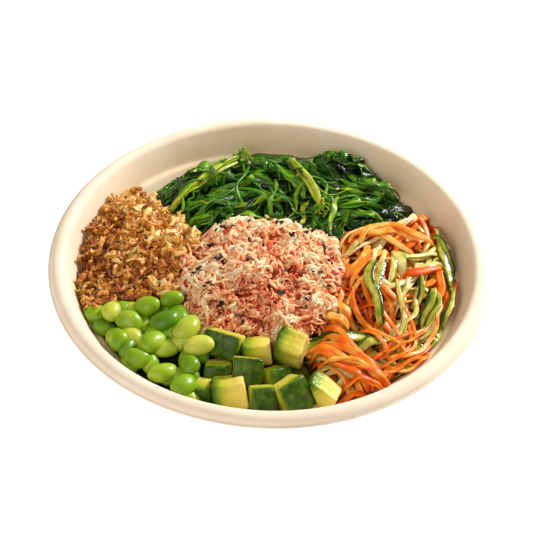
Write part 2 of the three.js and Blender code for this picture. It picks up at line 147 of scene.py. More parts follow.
def relief(material, shader, heights):
    """Fine relief: heights are (noise, depth in millimetres)."""
    normal = None
    for height, depth in heights:
        node = add_node(material, "Bump", {"Height": height, "Distance": depth * MM, "Strength": 1.0})
        if normal:
            link(material, normal, node.inputs["Normal"])
        normal = node.outputs["Normal"]
    link(material, normal, shader.inputs["Normal"])


def outline_of(start, stretches):
    points = [np.array(start, float)]
    for *control, end, steps in stretches:
        first, last = points[-1], np.array(end)
        middle = np.array(control[0]) if control else (first + last) / 2
        t = np.linspace(0, 1, steps + 1)[1:, None]
        points += [*((1 - t) ** 2 * first + 2 * t * (1 - t) * middle + t**2 * last)]
    return np.array(points)


def between_rings(rings, around, start=0):
    """Triangles that join rings of points, which follow each other from the point start."""
    a = start + np.arange((rings - 1) * around).reshape(-1, around)
    b = np.roll(a, -1, 1)
    quads = np.stack([a, a + around, b + around, b], -1).reshape(-1, 4)
    return np.concatenate([quads[:, [0, 1, 2]], quads[:, [0, 2, 3]]])


def fan(tip, start, around):
    """Triangles from one point to the ring that begins at the point start."""
    k = np.arange(around)
    return np.stack([np.full(around, tip), start + k, start + (k + 1) % around], 1)


def turned(section, sides):
    """A section turned round the Z axis, closed at the axis."""
    angles = np.linspace(0, 2 * np.pi, sides, endpoint=False)
    rings = section[1:-1]
    around = np.stack([np.cos(angles), np.sin(angles)], 1)
    wall = np.concatenate([rings[:, None, :1] * around, np.repeat(rings[:, None, 1:], sides, 1)], 2)
    points = np.concatenate([[[0, 0, section[0][1]]], wall.reshape(-1, 3), [[0, 0, section[-1][1]]]])
    last = 1 + (len(rings) - 1) * sides
    faces = [fan(0, 1, sides), between_rings(len(rings), sides, 1), fan(last + sides, last, sides)[:, ::-1]]
    return points, np.concatenate(faces)


def mesh_piece(name, points, faces, material, **values):
    """An object from points in millimetres. A value is a number at each point, for the material."""
    mesh = bpy.data.meshes.new(name)
    mesh.from_pydata((np.asarray(points) * MM).tolist(), [], np.asarray(faces).tolist())
    for label, numbers in values.items():
        stored = mesh.attributes.new(label, "FLOAT", "POINT")
        stored.data.foreach_set("value", np.asarray(numbers, np.float32))
    mesh.materials.append(material)
    mesh.shade_smooth()
    made = bpy.data.objects.new(name, mesh)
    bpy.context.scene.collection.objects.link(made)
    return made


def fibre_finish():
    material, shader = shader_of("moulded_fibre", Roughness=0.78, Specular_IOR_Level=0.25)
    cloudy = grain(material, 26, 4)
    flecks = spread(material, grain(material, 1.1, 2, (1, 3.2, 1)), 0.62, 0.78)
    place = add_node(material, "TexCoord").outputs["Object"]
    height = add_node(material, "SeparateXYZ", {0: place}).outputs["Z"]
    # Painted light and shade: the rim blends to lighter colours and the wall to darker, warmer ones.
    rim = ramp(material, cloudy, [(0.3, PAINTED_LIT_RIM_TAN), (0.62, PAINTED_LIT_RIM_CREAM)])
    wall = ramp(material, cloudy, [(0.3, PAINTED_SHADE_WALL_TAN), (0.62, PAINTED_SHADE_WALL_CREAM)])
    colour = blend(material, spread(material, height, PAINTED_RIM_LIGHT_FROM, PAINTED_RIM_LIGHT_TO), wall, rim)
    darker = blend(material, flecks, (0.0, 0.0, 0.0, 1), (0.22, 0.22, 0.22, 1))
    link(material, blend(material, darker, colour, srgb(*FIBRE_FLECK)), shader.inputs["Base Color"])
    fibres = grain(material, 0.7, 4, (1, 2.6, 1))
    relief(material, shader, [(grain(material, 5, 3), 0.12), (fibres, 0.07)])
    return material


section = outline_of((0, FLOOR_HEIGHT), INSIDE + RIM + OUTSIDE + UNDERSIDE)
points, faces = turned(section, BOWL_SIDES)

# Drying leaves the rim slightly wavy, and the wall less so the lower it is.
WARP_3, WARP_7 = 0.22, 0.12
WARP_FROM, WARP_OVER = 20, 40
turn = np.arctan2(points[:, 1], points[:, 0])
wave = WARP_3 * np.sin(3 * turn + 0.7) + WARP_7 * np.sin(7 * turn + 2.1)
points[:, 2] += np.clip((points[:, 2] - WARP_FROM) / WARP_OVER, 0, 1) * (wave - WARP_3 - WARP_7)
bowl = mesh_piece("fibre_bowl", points, faces, fibre_finish())
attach(bowl, "root")
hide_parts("bowl")

# ---------------------------------------------------------------------------------------------
# Crab salad: crab sticks pulled apart into short fibres and folded with a little dressing, piled
# as a mound in the middle of the bowl. The sticks are cream inside and red outside, so most
# fibres are pale and some are red. Black sesame seeds are scattered over the crown.
# ---------------------------------------------------------------------------------------------

FOOD_RADIUS = 99.2
# The room inside the bowl's wall: how far food may reach at a few heights, less what it keeps clear.
ROOM_HEIGHTS = [2.6, 4.5, 10, 43.8, 44.6, 45.8, 57.4]
ROOM_RADII = [60, 67, 71, 96.3, 99.3, 100.1, 105.6]
WALL_CLEARANCE = 0.7
MOUND_X, MOUND_Y, MOUND_RADIUS = -4, -11, 44
MOUND_FOOT, MOUND_RISE = 50, 15
MOUND_LOBE, MOUND_LOBE_TURN = 4, 60
GAP = 0.35
CORE_RINGS, CORE_FLOOR, CORE_SIDE_ROWS = 26, 3.4, (0.75, 0.4, 0.2, 0.05, 0)
CRAB_CLUMPS, CLUMP_SPACING = 90, 7.6
CLUMP_SIZES, CLUMP_HEIGHTS = (4.6, 8.6), (0.4, 6.4)
CLUMP_SINK, BACK_RISE = 2.8, 2.4
CRAB_FIBRES = 1150
CRAB_LOOSE_FIBRES = 420
CRAB_FINE_FIBRES = 400
CRAB_FLAKES = 120
CRAB_RED_FIBRES = 70
CRAB_RED_SKINS = 15
SESAME_CLUSTERS = 22
SESAME_LIFT = 2.6


def lumps(x, y, high):
    return high * np.sin(0.53 * x + 0.21 * y) * np.sin(0.47 * y - 0.26 * x + 1)


def about(radius, degrees, x=0.0, y=0.0):
    turn = np.radians(degrees)
    return np.stack([x + radius * np.cos(turn), y + radius * np.sin(turn)], -1)


def mound_edge(degrees, margin=0.0):
    lobe = MOUND_LOBE * np.cos(2 * np.radians(degrees - MOUND_LOBE_TURN))
    return about(MOUND_RADIUS + lobe + margin, degrees, MOUND_X, MOUND_Y)


def mound_top(x, y):
    away = np.hypot(x - MOUND_X, y - MOUND_Y) / MOUND_RADIUS
    rounded = np.sqrt(np.maximum(0, 1 - 0.8 * away**2)) - 0.45 * away**2
    return MOUND_FOOT + MOUND_RISE * rounded + lumps(x, y, 1)


def room_radius(z):
    return np.interp(z, ROOM_HEIGHTS, ROOM_RADII) - WALL_CLEARANCE


def kept_in_bowl(points):
    """Draws points that would run into the wall back to it, at the same height."""
    far = np.hypot(points[..., 0], points[..., 1])
    points[..., :2] *= np.minimum(1, room_radius(points[..., 2]) / np.maximum(far, 1e-6))[..., None]
    return points


def heap_core(name, food, outline, centre, top, patches, bumps, colours, roughness=0.7, shine=0.1):
    """What shows deep between the pieces of a heap: a closed block over an outline in plan, from the
    bowl's floor up to top(x, y), coloured dark as painted shade. patches is size and detail, bumps is size,
    detail and depth."""
    share = (np.arange(1, CORE_RINGS + 1) / CORE_RINGS)[:, None, None]
    plan = np.asarray(centre) * (1 - share) + outline * share
    upper = np.concatenate([plan, top(plan[..., 0], plan[..., 1])[..., None]], 2)
    wall = upper[-1, :, 2] - CORE_FLOOR
    lower = [np.concatenate([outline, (CORE_FLOOR + wall * up)[:, None]], 1) for up in CORE_SIDE_ROWS]
    rows = np.concatenate([upper, np.array(lower)])
    middle = np.array([[*centre, top(*np.array(centre, float))], [*centre, CORE_FLOOR]])
    points = kept_in_bowl(np.concatenate([middle, rows.reshape(-1, 3)]))
    around, last = len(outline), 2 + (len(rows) - 1) * len(outline)
    faces = [fan(0, 2, around), between_rings(len(rows), around, 2), fan(1, last, around)[:, ::-1]]
    material, shader = shader_of(f"{food}_depth", Roughness=roughness, Specular_IOR_Level=shine)
    link(material, ramp(material, grain(material, *patches), colours), shader.inputs["Base Color"])
    size, detail, depth = bumps
    relief(material, shader, [(grain(material, size, detail), depth)])
    return mesh_piece(name, points, np.concatenate(faces), material)


def unit(vectors):
    return vectors / np.maximum(np.linalg.norm(vectors, axis=-1, keepdims=True), 1e-9)


def copies_of(faces, count, points_each):
    """The faces of many like pieces, from those of one."""
    return (faces[None] + (np.arange(count) * points_each)[:, None, None]).reshape(-1, 3)


def swept(lines, width, thickness, twist, sides=6, squareness=0.8):
    """Closed strips along many lines at once. lines is (strips, steps, 3); width, thickness and
    twist are (strips, steps). Returns the points, the triangles and each point's place across."""
    strips, steps, _ = lines.shape
    along = unit(np.gradient(lines, axis=1))
    across = unit(np.cross([0.0, 0.0, 1.0], along + [0.0, 0.0, 1e-4]))
    outwards = np.cross(along, across)
    c, s = np.cos(twist)[..., None], np.sin(twist)[..., None]
    across, outwards = c * across + s * outwards, c * outwards - s * across
    angles = np.arange(sides) * 2 * np.pi / sides + np.pi / sides
    side = np.sign(np.cos(angles)) * np.abs(np.cos(angles)) ** squareness
    rise = np.sign(np.sin(angles)) * np.abs(np.sin(angles)) ** squareness
    points = lines[:, :, None] + across[:, :, None] * (width[..., None] * side / 2)[..., None]
    points = points + outwards[:, :, None] * (thickness[..., None] * rise / 2)[..., None]
    end = np.array([[0, j + 1, j] for j in range(1, sides - 1)])
    one = np.concatenate([between_rings(steps, sides)[:, ::-1], end, (steps - 1) * sides + end[:, ::-1]])
    faces = copies_of(one, strips, steps * sides)
    place = np.broadcast_to(side / np.abs(side).max(), (strips, steps, sides))
    return points.reshape(-1, 3), faces, place.reshape(-1)


def spaced_spots(random, inside, box, count, apart):
    """Random spots in plan, each apart from those before it."""
    spots = np.zeros((0, 2))
    for _ in range(60 * count):
        spot = random.uniform(*box)
        if inside(spot[0], spot[1]) and (len(spots) == 0 or np.hypot(*(spots - spot).T).min() > apart):
            spots = np.vstack([spots, spot])
        if len(spots) == count:
            break
    return spots


def in_mound(x, y, share=1.0):
    turn = np.degrees(np.arctan2(y - MOUND_Y, x - MOUND_X))
    edge = mound_edge(turn) - [MOUND_X, MOUND_Y]
    return np.hypot(x - MOUND_X, y - MOUND_Y) < share * np.hypot(edge[..., 0], edge[..., 1])


random = np.random.default_rng(11)
MOUND_REACH = MOUND_RADIUS + MOUND_LOBE
MOUND_BOX = ((MOUND_X - MOUND_REACH, MOUND_Y - MOUND_REACH), (MOUND_X + MOUND_REACH, MOUND_Y + MOUND_REACH))
clumps = spaced_spots(random, lambda x, y: in_mound(x, y, 1.03), MOUND_BOX, CRAB_CLUMPS, CLUMP_SPACING)
clump_size = random.uniform(*CLUMP_SIZES, len(clumps))
clump_high = random.uniform(*CLUMP_HEIGHTS, len(clumps))
outwards_turn = np.arctan2(clumps[:, 1] - MOUND_Y, clumps[:, 0] - MOUND_X)
clump_turn = outwards_turn + random.normal(0, 0.8, len(clumps))
clump_tint = random.normal(0, 0.06, len(clumps))


def clumps_over(x, y, spots, sizes, heights):
    """How far the highest of some round clumps stands over a place."""
    away = np.hypot(np.asarray(x)[..., None] - spots[:, 0], np.asarray(y)[..., None] - spots[:, 1]) / sizes
    return (heights * np.sqrt(np.maximum(0, 1 - away**2))).max(-1)


def crab_top(x, y):
    """The mound's surface with its clumps of fibres."""
    back = np.clip((np.asarray(y) - MOUND_Y - 12) / 26, 0, 1)
    return mound_top(x, y) - CLUMP_SINK + BACK_RISE * back + clumps_over(x, y, clumps, clump_size, clump_high)


def curled(random, count, steps, length, curl, turn):
    """Level curls through the origin, each of a length and a total bend, rolled about its run."""
    along = np.linspace(-0.5, 0.5, steps)
    heading = curl[:, None] * along + 0.5 * np.sin(random.uniform(0, 6, count)[:, None] + 7 * along)
    run = np.cumsum(np.cos(heading), 1) * (length / steps)[:, None]
    bow = np.cumsum(np.sin(heading), 1) * (length / steps)[:, None]
    run -= run.mean(1, keepdims=True)
    bow -= bow.mean(1, keepdims=True)
    roll = random.normal(0.35, 0.7, count)[:, None]
    lift = np.abs(bow) * np.sin(roll)
    bow = bow * np.cos(roll)
    c, s = np.cos(turn)[:, None], np.sin(turn)[:, None]
    return np.stack([c * run - s * bow, s * run + c * bow, lift], 2)


def crab_fibres(name, count, material, length, width, depth, lying=0.5, tints=(-0.2, 0.2), stand=0.9,
                bends=(1, 5)):
    """Rounded fibres that follow the clumps they lie on."""
    steps, sides = 11, 6
    owner = random.integers(0, len(clumps), count)
    away = clump_size[owner] * 1.05 * np.sqrt(random.uniform(0, 1, count))
    spot = clumps[owner] + about(away, random.uniform(0, 360, count))
    turn = clump_turn[owner] + random.normal(0, lying, count)
    curl = random.choice((-1, 1), count) * random.uniform(*bends, count)
    lines = curled(random, count, steps, random.uniform(*length, count), curl, turn)
    lines[..., :2] += spot[:, None]
    surface = crab_top(lines[..., 0], lines[..., 1])
    level = 0.6 * surface + 0.4 * surface.mean(1, keepdims=True)
    lines[..., 2] = level + lines[..., 2] + random.uniform(*depth, count)[:, None]
    lines[..., 2] += random.normal(0, stand, count)[:, None] * np.linspace(-1, 1, steps)
    # Painted light and shade: fibres on high clumps get paler tints and those low in the gaps darker ones.
    painted_shade_height = (surface.mean(1) - mound_top(spot[:, 0], spot[:, 1]) + 2.4) / 5
    taper = 0.6 + 0.4 * (1 - np.abs(np.linspace(-1, 1, steps)) ** 4)
    wide = random.uniform(*width, count)[:, None] * taper * random.uniform(0.8, 1.2, (count, steps))
    thick = wide * random.uniform(0.55, 0.85, count)[:, None]
    twist = random.normal(0, 0.6, count)[:, None] + np.cumsum(random.normal(0, 0.2, (count, steps)), 1)
    points, faces, _ = swept(kept_in_bowl(lines), wide, thick, twist, sides)
    tint = np.clip(0.24 + 0.46 * painted_shade_height + clump_tint[owner] + random.uniform(*tints, count), 0, 1)
    return mesh_piece(name, points, faces, material, tint=np.repeat(tint, steps * sides))


def attribute(material, name):
    return add_node(material, "Attribute", attribute_name=name).outputs["Fac"]


def summed(material, first, second):
    return add_node(material, "Math", {0: first, 1: second}, operation="ADD").outputs[0]


def varied(material, value, *noises):
    """A value with noises added, each as (noise, how far it moves the value up or down)."""
    for noise, reach in noises:
        value = summed(material, value, spread(material, noise, 0.3, 0.7, -reach, reach))
    return value


def crab_finish(name, stops):
    material, shader = shader_of(
        name, Roughness=0.45, Specular_IOR_Level=0.35, Subsurface_Weight=0.25, Subsurface_Scale=0.0012,
        Subsurface_Radius=(1.0, 0.4, 0.2))
    both = varied(material, attribute(material, "tint"), (grain(material, 6, 3), 0.35),
                  (grain(material, 1.3, 2), 0.2))
    link(material, ramp(material, both, stops), shader.inputs["Base Color"])
    relief(material, shader, [(grain(material, 0.6, 3), 0.15)])
    return material


pale_crab = crab_finish("pale_crab", [
    (0.0, (150, 44, 14)), (0.16, (214, 104, 62)), (0.36, (244, 162, 114)), (0.62, (255, 208, 160)),
    (1.0, (255, 236, 204))])
red_crab = crab_finish("red_crab", [(0.0, (150, 16, 4)), (0.5, (206, 44, 22)), (1.0, (236, 104, 66))])


def crab_flakes(name, count, material):
    """Broad bundles of fibres that did not fall apart, grooved along their length. The biggest lie
    on the mound's lobe."""
    steps, sides = 12, 14
    owner = random.integers(0, len(clumps), count)
    spot = clumps[owner] + random.normal(0, 3, (count, 2))
    turn = clump_turn[owner] + random.normal(0, 0.7, count)
    on_lobe = (spot - [MOUND_X, MOUND_Y]) @ about(1 / MOUND_RADIUS, MOUND_LOBE_TURN)
    grown = 1 + np.clip(on_lobe, 0, 1) ** 2
    length = random.uniform(5, 10, count) * grown
    lines = curled(random, count, steps, length, random.normal(0, 1.3, count), turn)
    lines[..., :2] += spot[:, None]
    surface = crab_top(lines[..., 0], lines[..., 1])
    lines[..., 2] = 0.4 * surface + 0.6 * surface.mean(1, keepdims=True) + 0.6 * lines[..., 2] - 0.2
    lines[..., 2] += random.normal(0, 1.0, count)[:, None] * np.linspace(-1, 1, steps)
    shape = np.sqrt(np.maximum(0.1, 1 - np.abs(np.linspace(-1, 1, steps)) ** 3))
    wide = (random.uniform(2.4, 4, count) * grown)[:, None] * shape
    wide = wide * random.uniform(0.86, 1.14, (count, steps))
    twist = random.normal(0, 0.4, count)[:, None] + np.cumsum(random.normal(0, 0.12, (count, steps)), 1)
    thick = wide * random.uniform(0.35, 0.55, (count, 1))
    points, faces, _ = swept(kept_in_bowl(lines), wide, thick, twist, sides)
    grooves = random.uniform(0.74, 1.12, (count, 1, sides))
    grooves = grooves * random.uniform(0.94, 1.06, (count, steps, sides))
    middle = np.repeat(lines.reshape(-1, 3), sides, axis=0)
    uneven = grooves.reshape(-1, 1)
    points = middle + (points - middle) * uneven
    # The grooves are darker than the ridges between them: painted shade.
    tint = np.repeat(random.uniform(0.45, 0.95, count), steps * sides) + (uneven[:, 0] - 1) * 1.5
    return mesh_piece(name, points, faces, material, tint=tint)


def crab_red_skins(name, count, material):
    """Red outer skin of the sticks, in flat strips."""
    steps, sides = 9, 6
    spots = spaced_spots(random, lambda x, y: in_mound(x, y, 0.92), MOUND_BOX, count, apart=11)
    count = len(spots)
    lines = curled(random, count, steps, random.uniform(6, 14, count), random.normal(0, 1.2, count),
                   random.uniform(0, 6.3, count))
    lines[..., :2] += spots[:, None]
    lines[..., 2] = crab_top(lines[..., 0], lines[..., 1]).mean(1, keepdims=True) + 0.8 + 0.4 * lines[..., 2]
    taper = 0.3 + 0.7 * (1 - np.abs(np.linspace(-1, 1, steps)) ** 3)
    wide = random.uniform(1.8, 3.2, (count, 1)) * taper * random.uniform(0.8, 1.2, (count, steps))
    twist = random.normal(0, 0.4, (count, 1)) + np.cumsum(random.normal(0, 0.15, (count, steps)), 1)
    points, faces, _ = swept(kept_in_bowl(lines), wide, wide * 0.35, twist, sides)
    tint = np.repeat(random.uniform(0.2, 0.9, count), steps * sides)
    return mesh_piece(name, points, faces, material, tint=tint)


crab_pieces = [
    # The core's colours are painted shade for the gaps between the fibres.
    heap_core(
        "crab_core", "crab", mound_edge(np.linspace(0, 360, 96, endpoint=False)), (MOUND_X, MOUND_Y),
        lambda x, y: crab_top(x, y) - 2, patches=(2.4, 4), bumps=(2, 4, 0.9), shine=0.15,
        colours=[(0.3, (92, 26, 8)), (0.55, (170, 72, 36)), (0.75, (226, 134, 86))]),
    crab_fibres("crab_fibres", CRAB_FIBRES, pale_crab, length=(8, 16), width=(1.5, 2.4), depth=(-1.4, 0.4)),
    crab_fibres("crab_loose_fibres", CRAB_LOOSE_FIBRES, pale_crab, length=(10, 18), width=(1.5, 2.2),
                depth=(0.2, 1.4), lying=0.7, tints=(-0.1, 0.3), stand=0.8, bends=(1, 4)),
    crab_fibres("crab_fine_fibres", CRAB_FINE_FIBRES, pale_crab, length=(6, 12), width=(0.9, 1.4),
                depth=(-0.6, 0.8), lying=0.8, tints=(0, 0.2)),
    crab_fibres("crab_red_fibres", CRAB_RED_FIBRES, red_crab, length=(5, 9), width=(1.3, 2.2),
                depth=(-0.8, 0.5), lying=0.8),
    crab_flakes("crab_flakes", CRAB_FLAKES, pale_crab),
    crab_red_skins("crab_red_skins", CRAB_RED_SKINS, red_crab),
]


SEED_LENGTH = (2.6, 3.2)


def seed_mesh(random, spots, top, lift):
    """Drop-shaped seeds lying over a heap."""
    rows, around = 7, 8
    t = np.linspace(0, np.pi, rows)
    angles = np.arange(around) * 2 * np.pi / around
    drop = 1 - 0.42 * (np.cos(t) * 0.5 + 0.5) ** 1.5
    ring = np.sin(t) * drop
    shape = np.stack([np.repeat(-np.cos(t), around) / 2, np.outer(ring, np.cos(angles)).ravel() * 0.3,
                      np.outer(ring, np.sin(angles)).ravel() * 0.17], 1)
    count = len(spots)
    turn, tilt = random.uniform(0, 2 * np.pi, count), random.normal(0, 0.35, count)
    size = random.uniform(*SEED_LENGTH, count)[:, None, None]
    local = shape[None] * size
    x = local[..., 0] * np.cos(tilt)[:, None] + local[..., 2] * np.sin(tilt)[:, None]
    z = local[..., 2] * np.cos(tilt)[:, None] - local[..., 0] * np.sin(tilt)[:, None]
    y = local[..., 1]
    world = np.stack([x * np.cos(turn)[:, None] - y * np.sin(turn)[:, None],
                      x * np.sin(turn)[:, None] + y * np.cos(turn)[:, None], z], 2)
    world[..., :2] += spots[:, None]
    world[..., 2] += (top(spots[:, 0], spots[:, 1]) + lift)[:, None]
    return world.reshape(-1, 3), copies_of(between_rings(rows, around)[:, ::-1], count, rows * around)


def seed_finish(name, dark, light):
    material, shader = shader_of(name, Roughness=0.4, Specular_IOR_Level=0.3)
    colour = ramp(material, grain(material, 1.2, 2), [(0.3, dark), (0.7, light)])
    link(material, colour, shader.inputs["Base Color"])
    relief(material, shader, [(grain(material, 0.5, 2), 0.05)])
    return material


# Black sesame: small flat drops, matt and nearly black, stuck together in little clusters.
cluster_spots = spaced_spots(random, lambda x, y: in_mound(x, y, 0.84), MOUND_BOX, SESAME_CLUSTERS, apart=12)
seed_spots = np.concatenate([
    spot + random.normal(0, random.uniform(1, 2.2), (random.integers(1, 9), 2)) for spot in cluster_spots
])
points, faces = seed_mesh(random, seed_spots, crab_top, SESAME_LIFT)
black_sesame = seed_finish("black_sesame", (8, 8, 8), (34, 28, 24))
crab_pieces.append(mesh_piece("black_sesame", points, faces, black_sesame))
for piece in crab_pieces:
    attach(piece, "root")
    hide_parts("crab_salad")

# ---------------------------------------------------------------------------------------------
# Seaweed salad: long wet ribbons and stems of wakame in dressing, dark to bright green, heaped
# against the back of the bowl. Most run from side to side, and a few paler stems lie on top.
# White sesame seeds stick to them.
# ---------------------------------------------------------------------------------------------

# Where one filling meets the next, as the turn at the mound and the turn at the wall.
CARROT_TO_SEAWEED = (44, 31)
SEAWEED_TO_ONION = (142, 141)
ONION_TO_BEANS = (202, 200)
BEANS_TO_AVOCADO = (238, 253.5)
AVOCADO_TO_CARROT = (296, 291.5)
SIDE_GAP_TURN = 0.3
CELL = 0.5
REACH = 110
BARE_GROUND = 3.0
UNDER_RIBBONS, OVER_RIBBONS = 250, 40
SEAWEED_ACROSS, SEAWEED_BACK = (-78, 88), (20, 99)
# How the loose ribbons lean, left of one place, right of another, and between them.
LEFT_PART, RIGHT_PART = -12, 24
LEFT_LEAN, RIGHT_LEAN, MIDDLE_LEANS = 42, -10, [42, -50, 0]
WHITE_SESAME_SEEDS, WHITE_SESAME_LIFT = 11, 0.5


def sector_outline(start, end, margin=2 * GAP):
    """A filling's outline: along the wall from one edge to the next, then back along the mound."""
    wall = about(FOOD_RADIUS, np.linspace(start[1] + SIDE_GAP_TURN, end[1] - SIDE_GAP_TURN, 60))
    mound = mound_edge(np.linspace(end[0] - SIDE_GAP_TURN, start[0] + SIDE_GAP_TURN, 36), margin)
    return np.concatenate([wall, mound])


def inside_of(outline):
    """A test of whether a place in plan is inside an outline."""
    after = np.roll(outline, -1, 0)

    def inside(x, y):
        x, y = np.asarray(x)[..., None], np.asarray(y)[..., None]
        (ax, ay), (bx, by) = outline.T, after.T
        crosses = ((ay > y) != (by > y)) & (x < (bx - ax) * (y - ay) / np.where(by == ay, 1e-9, by - ay) + ax)
        return crosses.sum(-1) % 2 == 1

    return inside


def slope_top(wall, inner, dome=0.0, summit=(0, 0), wide=20.0, lumpy=0.0):
    """A filling's height: level at the wall, rising inwards, with a soft summit."""
    def top(x, y):
        inwards = np.clip((FOOD_RADIUS - np.hypot(x, y)) / (FOOD_RADIUS - MOUND_RADIUS), 0, 1)
        away = np.hypot(x - summit[0], y - summit[1]) / wide
        return wall + (inner - wall) * np.sqrt(inwards) + dome * np.exp(-away**2) + lumps(x, y, lumpy)

    return top


# The height of what lies in the bowl so far, on a square grid, so that the next strand rests on it.
grid_line = np.arange(-REACH, REACH + CELL, CELL)
grid_x, grid_y = np.meshgrid(grid_line, grid_line, indexing="ij")
ground = np.full(grid_x.shape, BARE_GROUND)


def cells(x, y):
    nearest = (((place + REACH) / CELL).round().astype(int) for place in (x, y))
    return tuple(np.clip(number, 0, len(grid_line) - 1) for number in nearest)


def raise_ground(inside, top):
    here = inside(grid_x, grid_y)
    ground[here] = np.maximum(ground[here], top(grid_x[here], grid_y[here]))


def route(x, y, turn, length, curl, steps=22, sway=0.0, waves=1.5, phase=0.0):
    """A line in plan whose middle is at (x, y), bending by curl degrees a millimetre and swaying."""
    along = np.linspace(-0.5, 0.5, steps)
    heading = math.radians(turn) + math.radians(curl) * along * length
    heading = heading + sway * np.sin(2 * np.pi * waves * along + phase)
    step = np.stack([np.cos(heading), np.sin(heading)], 1) * length / (steps - 1)
    line = np.cumsum(step, 0) - step
    return line - line[steps // 2] + [x, y]


def at_places(values, places):
    """Values between the rows of an array, at broken row numbers."""
    steps = np.arange(len(values))
    if values.ndim == 1:
        return np.interp(places, steps, values)
    return np.stack([np.interp(places, steps, column) for column in values.T], 1)


def trimmed(line, inside, least):
    """The stretch of a line about its middle that stays inside, with the same number of steps."""
    steps = len(line)
    ok = inside(line[:, 0], line[:, 1])
    low = high = steps // 2
    if not ok[low]:
        return None
    while low > 0 and ok[low - 1]:
        low -= 1
    while high < steps - 1 and ok[high + 1]:
        high += 1
    if high - low < least:
        return None
    return at_places(line, np.linspace(low, high, steps))


def laid(line, width, thickness, cap, ease=4, lift=0.0):
    """Rests a strand on what lies under it, as stiff as it bridges dips, and raises the ground."""
    along = unit(np.gradient(line, axis=0))
    side = np.stack([-along[:, 1], along[:, 0]], 1)
    offsets = np.arange(-width / 2, width / 2 + CELL, CELL)

    def cells_under(line, side):
        spots = line[:, None] + side[:, None] * offsets[None, :, None]
        return cells(spots[..., 0], spots[..., 1])

    under = np.percentile(ground[cells_under(line, side)], 70, axis=1)
    z = np.minimum(under + thickness / 2, cap(line[:, 0], line[:, 1])) + lift
    for _ in range(ease):
        z[1:-1] = np.maximum(z[1:-1], (z[:-2] + z[2:]) / 2)
    for _ in range(3):
        z[1:-1] = (z[:-2] + 2 * z[1:-1] + z[2:]) / 4
    fine = np.linspace(0, len(line) - 1, 4 * len(line))
    top = at_places(z, fine) + thickness / 2
    covered = cells_under(at_places(line, fine), at_places(side, fine))
    np.maximum.at(ground, covered, np.broadcast_to(top[:, None], covered[0].shape))
    ends = np.abs(np.linspace(-1, 1, len(line))) ** 8
    return kept_in_bowl(np.concatenate([line, (z - thickness * ends)[:, None]], 1))


seaweed_outline = sector_outline(CARROT_TO_SEAWEED, SEAWEED_TO_ONION)
seaweed_inside = inside_of(seaweed_outline)
seaweed_top = slope_top(wall=42, inner=50, dome=5, summit=about(70, 85), wide=34)
raise_ground(in_mound, crab_top)
raise_ground(seaweed_inside, lambda x, y: seaweed_top(x, y) - 7)


def strand_batch(strands, sides=6, squareness=0.8):
    """Joins laid strands: each is (line, width, thickness, twist along it, tint)."""
    lines = np.array([strand[0] for strand in strands])
    width, thickness, twist = (np.array([strand[i] for strand in strands]) for i in (1, 2, 3))
    points, faces, across = swept(lines, width, thickness, twist, sides, squareness)
    count, steps, _ = lines.shape
    tint = np.repeat([strand[4] for strand in strands], steps * sides)
    run = np.cumsum(np.linalg.norm(np.diff(lines, axis=1, prepend=lines[:, :1]), axis=2), 1)
    run = run + np.arange(count)[:, None] * 31.7
    return kept_in_bowl(points), faces, {"tint": tint, "across": across, "run": np.repeat(run.ravel(), sides)}


def tapered(steps, sharp=6.0, least=0.3):
    return least + (1 - least) * (1 - np.abs(np.linspace(-1, 1, steps)) ** sharp)


def seaweed_strand(random, line, width, thickness, tint, cap=2.0, ruffled=0.3, lift=0.0):
    placed = laid(line, width, thickness, lambda px, py: seaweed_top(px, py) + cap, lift=lift)
    steps = len(line)
    ruffle = 1 + 0.2 * np.sin(np.linspace(0, random.uniform(4, 14), steps) + random.uniform(0, 6))
    roll = np.linspace(*random.normal(0, 1.6 * ruffled, 2), steps)
    roll = roll + ruffled * np.sin(np.linspace(0, random.uniform(6, 20), steps) + random.uniform(0, 6))
    return placed, width * ruffle * tapered(steps), np.full(steps, thickness) * tapered(steps), roll, tint


STRAND_STEPS, LEAST_STEPS = 22, 7
STEM_THICKNESS = 1.1


def loose_seaweed(random, count, lengths, widths, cap, tints):
    made = []
    while len(made) < count:
        x, y = random.uniform(*SEAWEED_ACROSS), random.uniform(*SEAWEED_BACK)
        if not seaweed_inside(x, y):
            continue
        lean = LEFT_LEAN if x < LEFT_PART else (RIGHT_LEAN if x > RIGHT_PART else random.choice(MIDDLE_LEANS))
        line = route(x, y, lean + random.normal(0, 30), random.uniform(*lengths), random.normal(0, 1.2),
                     STRAND_STEPS, random.uniform(0.2, 0.9), random.uniform(0.8, 2.6), random.uniform(0, 6.3))
        line = trimmed(line, seaweed_inside, LEAST_STEPS)
        if line is not None:
            made.append(seaweed_strand(random, line, random.choice(widths), random.uniform(0.45, 0.8),
                                       np.clip(random.normal(*tints), 0, 1.3), cap))
    return made


random = np.random.default_rng(5)
# The lower ribbons get darker tints and those on top paler ones: partly the seaweed's own spread of greens,
# partly painted shade on the lower layers.
seaweed = loose_seaweed(random, UNDER_RIBBONS, lengths=(26, 58), widths=(1.2, 1.8, 2.6, 3.6, 5.0, 7.5),
                        cap=0.0, tints=(0.28, 0.2))
SEAWEED_BOX = ((-70, 25), (80, 92))

